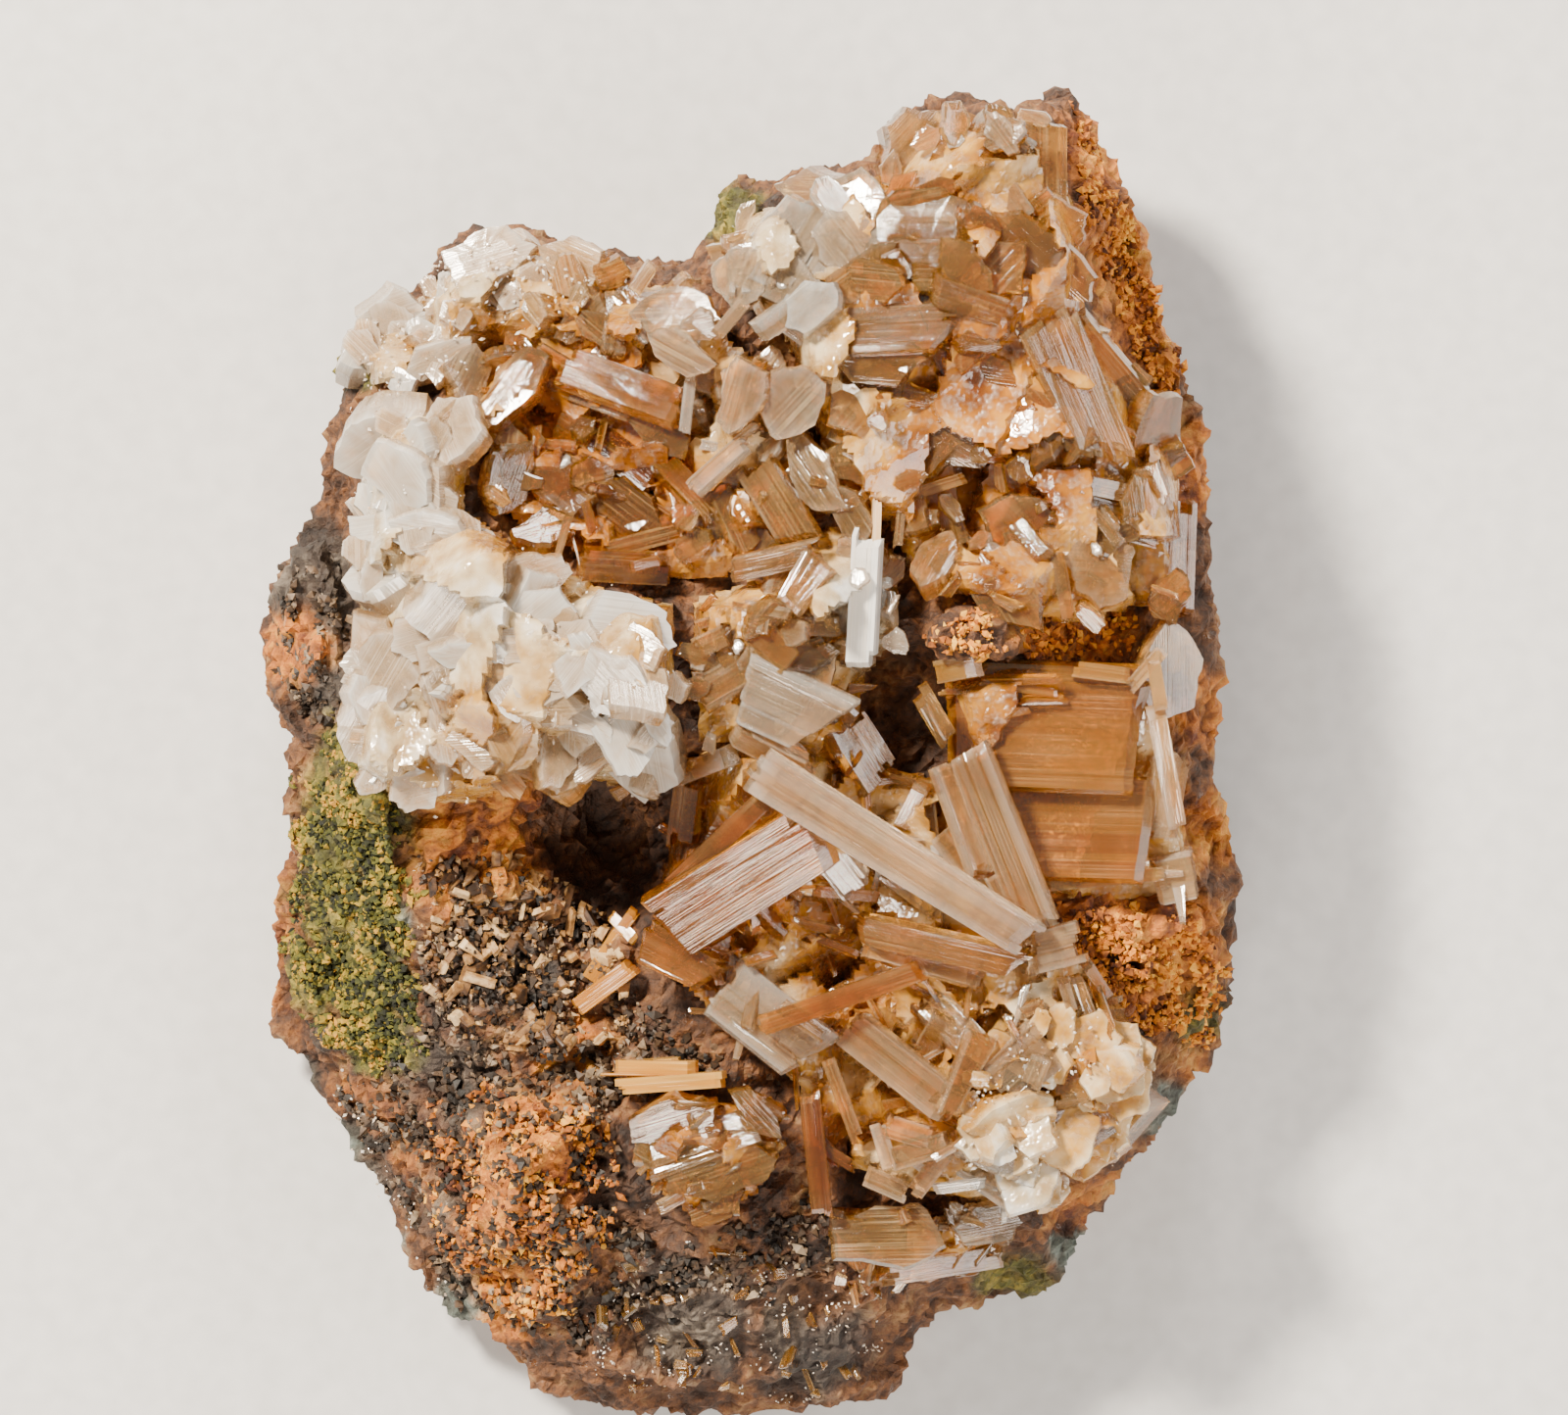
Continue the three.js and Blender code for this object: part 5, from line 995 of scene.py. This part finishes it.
def crystal_material(name, clear, cloudy, roughness, milk, tint, density, pale_clear, silky, silk_colour):
    """Translucent crystal, white to amber by tone, with fine silky streaks and coloured depth."""
    look = Look(name)
    grain = look.layer("grain", "Vector")
    tone = look.layer("tone")
    lines = look.noise(look.stretched(grain, (0.1, 15.0, 1.0)), 1.0, 2.0, 0.6)
    veils = look.noise(look.stretched(grain, (0.3, 0.8, 0.6)), 1.0, 1.0, 0.5)
    body = look.ramp(tone, CRYSTAL_TONES)
    streaks = look.spread(lines, 0.46, 0.72, 0.0, silky)
    silk = look.math("MULTIPLY", streaks, look.spread(veils, 0.38, 0.62, 0.1, 1.0))
    white = look.math("ADD", silk, milk, True)
    look.show("Base Color", look.mixed(white, body, silk_colour))
    open_share = look.spread(tone, 0.0, 0.4, pale_clear, 1.0)
    seen = look.spread(silk, 0.0, 0.6, clear, cloudy)
    look.show("Transmission Weight", look.math("MULTIPLY", seen, open_share))
    look.show("Roughness", look.spread(veils, 0.35, 0.7, roughness, roughness + 0.1))
    look.show("IOR", CRYSTAL_INDEX)
    look.bump(lines, 0.6 * silky, 0.00006)
    if density:
        depth = look.join("ShaderNodeVolumeAbsorption", "Volume", {"Color": tint, "Density": density})
        look.put(look.nodes["Material Output"].inputs["Volume"], depth)
    return look.material


def crust_material():
    """Crust that the crystals stand in: amber to white by tone, mottled, with a sugary grain."""
    look = Look("crystal_crust")
    place = look.place()
    tone = look.layer("tone")
    blotch = look.noise(place, 700.0, 2.0, 0.6)
    sugar = look.noise(place, 2800.0, 1.0, 0.6)
    shade = look.math("ADD", tone, look.spread(blotch, 0.3, 0.7, -0.2, 0.2), True)
    body = look.ramp(shade, CRUST_TONES)
    pale = look.spread(sugar, 0.45, 0.75, 0.0, 0.3)
    look.show("Base Color", look.mixed(pale, body, (0.9, 0.74, 0.52)))
    look.show("Transmission Weight", look.spread(blotch, 0.35, 0.65, 0.2, 0.6))
    look.show("Roughness", look.spread(sugar, 0.35, 0.65, 0.08, 0.3))
    look.show("IOR", CRYSTAL_INDEX)
    look.bump(sugar, 0.5, 0.0001)
    return look.material


def sparkle_material():
    """Glassy white grains."""
    look = Look("sparkling_grain")
    fine = look.noise(look.place(), 2400.0, 2.0, 0.5)
    look.show("Base Color", look.ramp(fine, [(0.35, (0.6, 0.44, 0.3)), (0.65, (0.9, 0.86, 0.8))]))
    look.show("Roughness", 0.08)
    look.show("IOR", GRAIN_INDEX)
    return look.material


def rock_material():
    """Limonite rock: brown and orange earth with mossy, blue-grey, ochre and dark ground by place, the dark
    ground partly painted shade, and painted shade in its cracks and pits.
    """
    look = Look("limonite_rock")
    place = look.place()
    broad = look.noise(place, 420.0, 2.0, 0.6)
    fine = look.noise(place, 2600.0, 3.0, 0.7)
    mix = look.math("ADD", look.math("MULTIPLY", broad, 0.6), look.math("MULTIPLY", fine, 0.4))
    colour = look.ramp(mix, EARTH_TONES)
    for kind, stops in GROUND_TONES.items():
        colour = look.mixed(look.layer(kind), colour, look.ramp(mix, stops))
    # Painted shade laid into the rock's cracks and pits.
    deep = look.spread(look.layer("crevice_shade"), 0.0, 1.0, 0.0, 0.72)
    look.show("Base Color", look.mixed(deep, colour, CREVICE_SHADE_COLOUR))
    cells = look.join("ShaderNodeTexVoronoi", "Color", {"Scale": 3300.0, "Vector": place})
    look.show("Roughness", look.spread(cells, 0.86, 0.95, 0.78, 0.12))
    look.show("Specular IOR Level", 0.55)
    look.bump(fine, 0.8, 0.00022)
    return look.material


def grain_material(name, stops, roughness):
    """Opaque earthy grains along a row of colours by tone."""
    look = Look(name)
    place = look.place()
    fine = look.noise(place, 3000.0, 4.0, 0.6)
    broad = look.noise(place, 380.0, 3.0, 0.6)
    share = look.math("ADD", look.layer("tone"), look.spread(fine, 0.3, 0.7, -0.2, 0.2))
    share = look.math("ADD", share, look.spread(broad, 0.35, 0.65, -0.3, 0.3), True)
    look.show("Base Color", look.ramp(share, stops))
    look.show("Roughness", roughness)
    look.bump(fine, 0.5, 0.0001)
    return look.material


def floor_material():
    """Plain pale paper."""
    look = Look("pale_floor")
    fibre = look.noise(look.place(), 900.0, 1.0, 0.6)
    look.show("Base Color", look.ramp(fibre, [(0.3, (0.6, 0.59, 0.58)), (0.7, (0.66, 0.65, 0.64))]))
    look.show("Roughness", 0.85)
    return look.material


# The specimen

# Growths of one pattern. bed: lift, cell, tilt and spread of shade of its crust. plates: how many, length,
# thickness, lift, tilt, spread. small: how many, sizes, lift, spread. turned: heading, sway and tilt.
GROWTHS = {
    "white_crust": {
        "seed": 11, "look": "white", "node": "white_crust", "slot": "white", "outline": WHITE_BED,
        "blades": WHITE_BLADES, "spread": 0.08, "bed": (3.0, 2.6, 0.38, 0.1), "foot": 15.5,
        "plates": (70, (1.6, 4.2), (0.8, 1.4), (2.7, 3.5), 0.32, 0.12),
        "small": (24, ((0.5, 1.4), (0.4, 1.0), (0.3, 0.6)), (2.8, 3.5), 0.15),
    },
    "corner": {
        "seed": 12, "look": "white", "node": "corner_crystals", "slot": "white", "outline": KNOB_BED,
        "blades": KNOB_BLADES, "spread": 0.1, "bed": (1.8, 1.6, 0.45, 0.1),
        "plates": (26, (0.9, 2.4), (0.5, 1.0), (1.4, 2.1), 0.45, 0.15),
    },
    "vug": {
        "seed": 13, "look": "honey", "node": "blade_growth", "slot": "blade", "outline": VUG_BED,
        "blades": VUG_BLADES, "spread": 0.12, "bed": (1.6, 1.7, 0.6, 0.12),
        "plates": (55, (1.0, 3.0), (0.3, 0.7), (1.4, 2.5), 0.6, 0.15),
        "small": (60, ((0.8, 2.4), (0.15, 0.6), (0.12, 0.35)), (1.4, 2.5), 0.2),
    },
    "upper_right": {
        "seed": 14, "look": "peach", "node": "blade_growth", "slot": "blade", "outline": RIDGE_BED,
        "blades": RIDGE_BLADES, "spread": 0.08, "bed": (2.6, 2.8, 0.32, 0.08),
        "plates": (90, (1.4, 4.4), (0.4, 1.0), (2.2, 3.1), 0.3, 0.12),
        "small": (40, ((0.7, 2.0), (0.15, 0.7), (0.15, 0.4)), (2.4, 3.1), 0.2),
    },
    "centre": {
        "seed": 15, "look": "peach", "node": "blade_growth", "slot": "blade", "outline": CENTRE_BED,
        "blades": CENTRE_BLADES, "spread": 0.08, "bed": (2.3, 1.8, 0.45, 0.12), "whole": True,
        "plates": (26, (1.0, 2.8), (0.4, 0.8), (2.1, 2.9), 0.45, 0.15),
        "small": (24, ((0.8, 2.2), (0.15, 0.6), (0.15, 0.4)), (2.1, 3.0), 0.2),
    },
    "fan": {
        "seed": 18, "look": "peach", "node": "lower_left_fan", "slot": "blade", "outline": FAN_BED,
        "blades": FAN_BLADES, "spread": 0.1, "bed": (1.8, 1.4, 0.45, 0.12),
        "plates": (16, (0.9, 2.4), (0.4, 0.8), (1.7, 2.3), 0.45, 0.15),
        "small": (30, ((0.8, 2.2), (0.2, 0.7), (0.15, 0.4)), (1.7, 2.4), 0.2), "turned": (25, 35, 30),
    },
    "bottom": {
        "seed": 21, "look": "clear", "node": "bottom_blades", "slot": "white", "outline": BOTTOM_BED,
        "blades": BOTTOM_BLADES, "spread": 0.1, "bed": (1.5, 1.5, 0.4, 0.1),
        "plates": (14, (0.9, 2.6), (0.3, 0.7), (1.3, 1.9), 0.45, 0.15),
        "small": (22, ((0.6, 1.8), (0.2, 0.6), (0.12, 0.35)), (1.3, 2.1), 0.2),
    },
}


def build_rock(frame):
    mesh = carve_rock(rock_mesh(frame["nodes"]["matrix"]))
    mesh.materials.clear()
    mesh.materials.append(rock_material())
    shown("rock_surface", mesh, ["matrix"], "rock")


def build_growth(name, ground, looks):
    """The crust, the listed crystals, the plates and the small crystals of one growth."""
    growth = GROWTHS[name]
    outline = growth["outline"]
    rng = random.Random(growth["seed"])
    out = Pieces()
    build_bed(name, ground, outline, growth["bed"], rng, looks["crust"], growth["node"], growth["slot"],
              growth.get("foot"))
    add_listed = add_rows if growth.get("whole") else add_broken
    add_listed(out, ground, growth["blades"], growth["spread"], rng)
    add_plates(out, ground, outline, *growth["plates"], rng)
    if "small" in growth:
        add_small(out, ground, outline, *growth["small"], rng, *growth.get("turned", ()))
    add_glints(out, ground, outline, rng)
    out.build(name + "_surface", looks[growth["look"]], [growth["node"]], growth["slot"])
    return rng


def build_centre(ground, looks):
    """The crystals of the middle and the upright silver blade on them."""
    rng = build_growth("centre", ground, looks)
    silver = Pieces()
    add_rows(silver, ground, SILVER_BLADE, 0.02, rng)
    silver.build("silver_blade_surface", looks["silver"], ["blade_growth"], "blade")


def build_jackstraw(ground, looks):
    """The criss-cross blades of the middle and the lumpy mass at their lower right."""
    rng = random.Random(16)
    out = Pieces()
    build_bed("jackstraw", ground, JACKSTRAW_BED, (1.5, 1.7, 0.55, 0.15), rng, looks["crust"],
              "blade_growth", "blade")
    add_rows(out, ground, JACKSTRAW_BLADES, 0.07, rng)
    sizes = ((0.9, 3.2), (0.12, 0.5), (0.12, 0.4))
    add_small(out, ground, JACKSTRAW_BED, 120, sizes, (1.3, 2.6), 0.3, rng, -35, 70, 25)
    add_glints(out, ground, PEACH_MASS, rng)
    out.build("jackstraw_surface", looks["peach"], ["blade_growth"], "blade")
    mass = Pieces()
    add_plates(mass, ground, PEACH_MASS, 60, (1.6, 4.0), (0.7, 1.3), (2.0, 3.1), 0.36, 0.1, rng)
    mass.build("peach_mass_surface", looks["crust"], ["blade_growth"], "blade")


def build_amber(ground, looks):
    """The large amber plate at the right with the white twig and rods on it."""
    rng = random.Random(17)
    out = Pieces()
    build_bed("amber", ground, AMBER_BED, (1.6, 3.5, 0.06, 0.05), rng, looks["crust"], "amber_blades",
              "amber", None, True)
    add_rows(out, ground, AMBER_BLADES, 0.04, rng, 0.35, True)
    add_rows(out, ground, AMBER_SLABS, 0.04, rng, 0.5, True)
    sizes = ((1.0, 3.5), (0.12, 0.4), (0.2, 0.4))
    add_small(out, ground, AMBER_BED, 10, sizes, (1.9, 2.3), 0.1, rng, -5, 8, 6)
    out.build("amber_surface", looks["amber"], ["amber_blades"], "amber")


def build_rods(ground, looks):
    """The golden rods and the rods that cross the rim of the cavity."""
    rng = random.Random(22)
    for name, rows, spread in (("golden_rods", ROD_PAIR, 0.05), ("cavity_rods", CAVITY_RODS, 0.15)):
        rods = Pieces()
        add_rows(rods, ground, rows, spread, rng)
        rods.build(name + "_surface", looks["golden"], [name], "amber")


def build_earth(ground, looks):
    """Mossy, ochre and brown grains, chips on the hollow's floor and the small crystals of the foot."""
    rng = random.Random(19)
    mossy = grain_material("moss_grain", *MOSS_GRAIN)
    rusty = grain_material("ochre_grain", *OCHRE_GRAIN)
    chipped = grain_material("earthy_chip", *EARTHY_CHIP)
    brown = grain_material("brown_grain", *BROWN_GRAIN)
    moss = Pieces()
    add_grains(moss, ground, MOSS_FIELD, 6800, (0.05, 0.2), (-0.2, 0.28), 0.5, 0.4, rng, -0.4)
    moss.build("mossy_grains", mossy, ["matrix"], "rock")
    ochre = Pieces()
    for field, count in ((OCHRE_FIELD, 1900), (UPPER_FLANK, 1200), (LUMP_FIELD, 700), (ORANGE_FACE, 2000)):
        add_grains(ochre, ground, field, count, (0.05, 0.22), (-0.2, 0.28), 0.5, 0.4, rng, -0.25)
    ochre.build("ochre_grains", rusty, ["matrix"], "rock")
    earth = Pieces()
    add_grains(earth, ground, EARTH_FIELD, 5200, (0.05, 0.26), (-0.3, 0.22), 0.45, 0.45, rng, -0.3)
    add_grains(earth, ground, NODULE_FIELD, 700, (0.05, 0.24), (-0.3, 0.2), 0.5, 0.45, rng, -0.1)
    earth.build("brown_grains", brown, ["matrix"], "rock")
    chips = Pieces()
    sizes = ((0.4, 1.5), (0.15, 0.6), (0.12, 0.35))
    add_small(chips, ground, HOLLOW_FLOOR, 110, sizes, (0.0, 0.6), 0.5, rng, 0, 180, 50)
    add_grains(chips, ground, HOLLOW_FLOOR, 900, (0.05, 0.2), (-0.15, 0.3), 0.5, 0.45, rng)
    chips.build("hollow_chips", chipped, ["matrix"], "rock")
    druse = Pieces()
    sizes = ((0.4, 1.2), (0.15, 0.5), (0.1, 0.25))
    add_small(druse, ground, DRUSE_FIELD, 50, sizes, (0.1, 0.5), 0.2, rng)
    druse.build("foot_druse", looks["clear"], ["matrix"], "white")


def build_sparkles(ground):
    """Fine white grains caught on the pale crusts and on the druse of the foot."""
    rng = random.Random(20)
    out = Pieces()
    fields = (
        (WHITE_BED, 420, (2.8, 3.4)), (KNOB_BED, 240, (1.7, 2.5)), (PEACH_MASS, 260, (2.4, 3.0)),
        (RIM_FIELD, 120, (0.0, 0.3)), (BLUE_FIELD, 80, (0.0, 0.25)),
    )
    for field, count, lift in fields:
        add_grains(out, ground, field, count, (0.03, 0.1), lift, 0.5, 0.5, rng)
    add_grains(out, ground, DRUSE_FIELD, 800, (0.03, 0.07), (-0.05, 0.2), 0.5, 0.5, rng, 0.04)
    out.build("sparkling_grains", sparkle_material(), ["matrix"], "white")


def build_specimen(frame):
    ground = Ground(frame["nodes"]["matrix"])
    looks = {kind: crystal_material(kind + "_cerussite", *row) for kind, row in CRYSTAL_LOOKS.items()}
    looks["crust"] = crust_material()
    build_rock(frame)
    for name in ("white_crust", "corner", "vug", "upper_right"):
        build_growth(name, ground, looks)
    build_centre(ground, looks)
    build_jackstraw(ground, looks)
    build_amber(ground, looks)
    build_growth("fan", ground, looks)
    build_growth("bottom", ground, looks)
    build_rods(ground, looks)
    build_earth(ground, looks)
    build_sparkles(ground)


# Floor, light and camera

FLOOR_SIZE = 1.2
LIGHT_AIM = Vector((0, 0, 0.012))
SKY = ((1.0, 0.94, 0.86, 1), 0.32)

# Lights: name, place, size, power, colour; lengths in metres.
LIGHTS = [
    ("key", (-0.15, 0.17, 0.28), (0.05, 0.05), 4.4, (1.0, 0.9, 0.75)),
    ("fill", (0.26, -0.02, 0.2), (0.2, 0.2), 0.7, (1.0, 0.96, 0.92)),
    ("back", (0.05, 0.3, 0.16), (0.06, 0.12), 0.8, (1.0, 0.95, 0.88)),
    ("low", (-0.06, -0.26, 0.2), (0.16, 0.1), 1.1, (1.0, 0.9, 0.78)),
]


def add_floor():
    bpy.ops.mesh.primitive_plane_add(size=FLOOR_SIZE, location=(0, 0, 0))
    floor = bpy.context.object
    floor.name = "floor"
    floor.data.materials.append(floor_material())


def add_light(name, place, size, power, colour):
    lamp = bpy.data.lights.new(name, "AREA")
    lamp.shape = "RECTANGLE"
    lamp.size, lamp.size_y = size
    lamp.energy = power
    lamp.color = colour
    thing = bpy.data.objects.new(name, lamp)
    bpy.context.scene.collection.objects.link(thing)
    thing.location = place
    aim = LIGHT_AIM - Vector(place)
    thing.rotation_euler = aim.to_track_quat("-Z", "Y").to_euler()


def add_studio():
    world = bpy.data.worlds.new("studio")
    bpy.context.scene.world = world
    world.use_nodes = True
    background = world.node_tree.nodes["Background"]
    background.inputs["Color"].default_value, background.inputs["Strength"].default_value = SKY
    for row in LIGHTS:
        add_light(*row)


def add_camera():
    camera = bpy.data.cameras.new("camera")
    camera.sensor_width = SENSOR
    camera.lens = SENSOR * CAMERA_DISTANCE / PHOTO_WIDTH
    camera.clip_start = 0.01
    thing = bpy.data.objects.new("camera", camera)
    bpy.context.scene.collection.objects.link(thing)
    x, y = CAMERA_OVER
    thing.location = (x * MM, y * MM, (FACE_HEIGHT + CAMERA_DISTANCE) * MM)
    thing.rotation_euler = (0, 0, 0)
    bpy.context.scene.camera = thing


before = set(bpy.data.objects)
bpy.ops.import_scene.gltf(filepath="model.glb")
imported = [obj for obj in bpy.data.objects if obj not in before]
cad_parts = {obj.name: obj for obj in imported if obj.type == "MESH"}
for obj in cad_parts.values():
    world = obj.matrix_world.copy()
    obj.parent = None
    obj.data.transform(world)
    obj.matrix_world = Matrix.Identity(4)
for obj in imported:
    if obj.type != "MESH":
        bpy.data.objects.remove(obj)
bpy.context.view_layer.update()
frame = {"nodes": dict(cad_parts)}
build_specimen(frame)
add_floor()
add_studio()
add_camera()
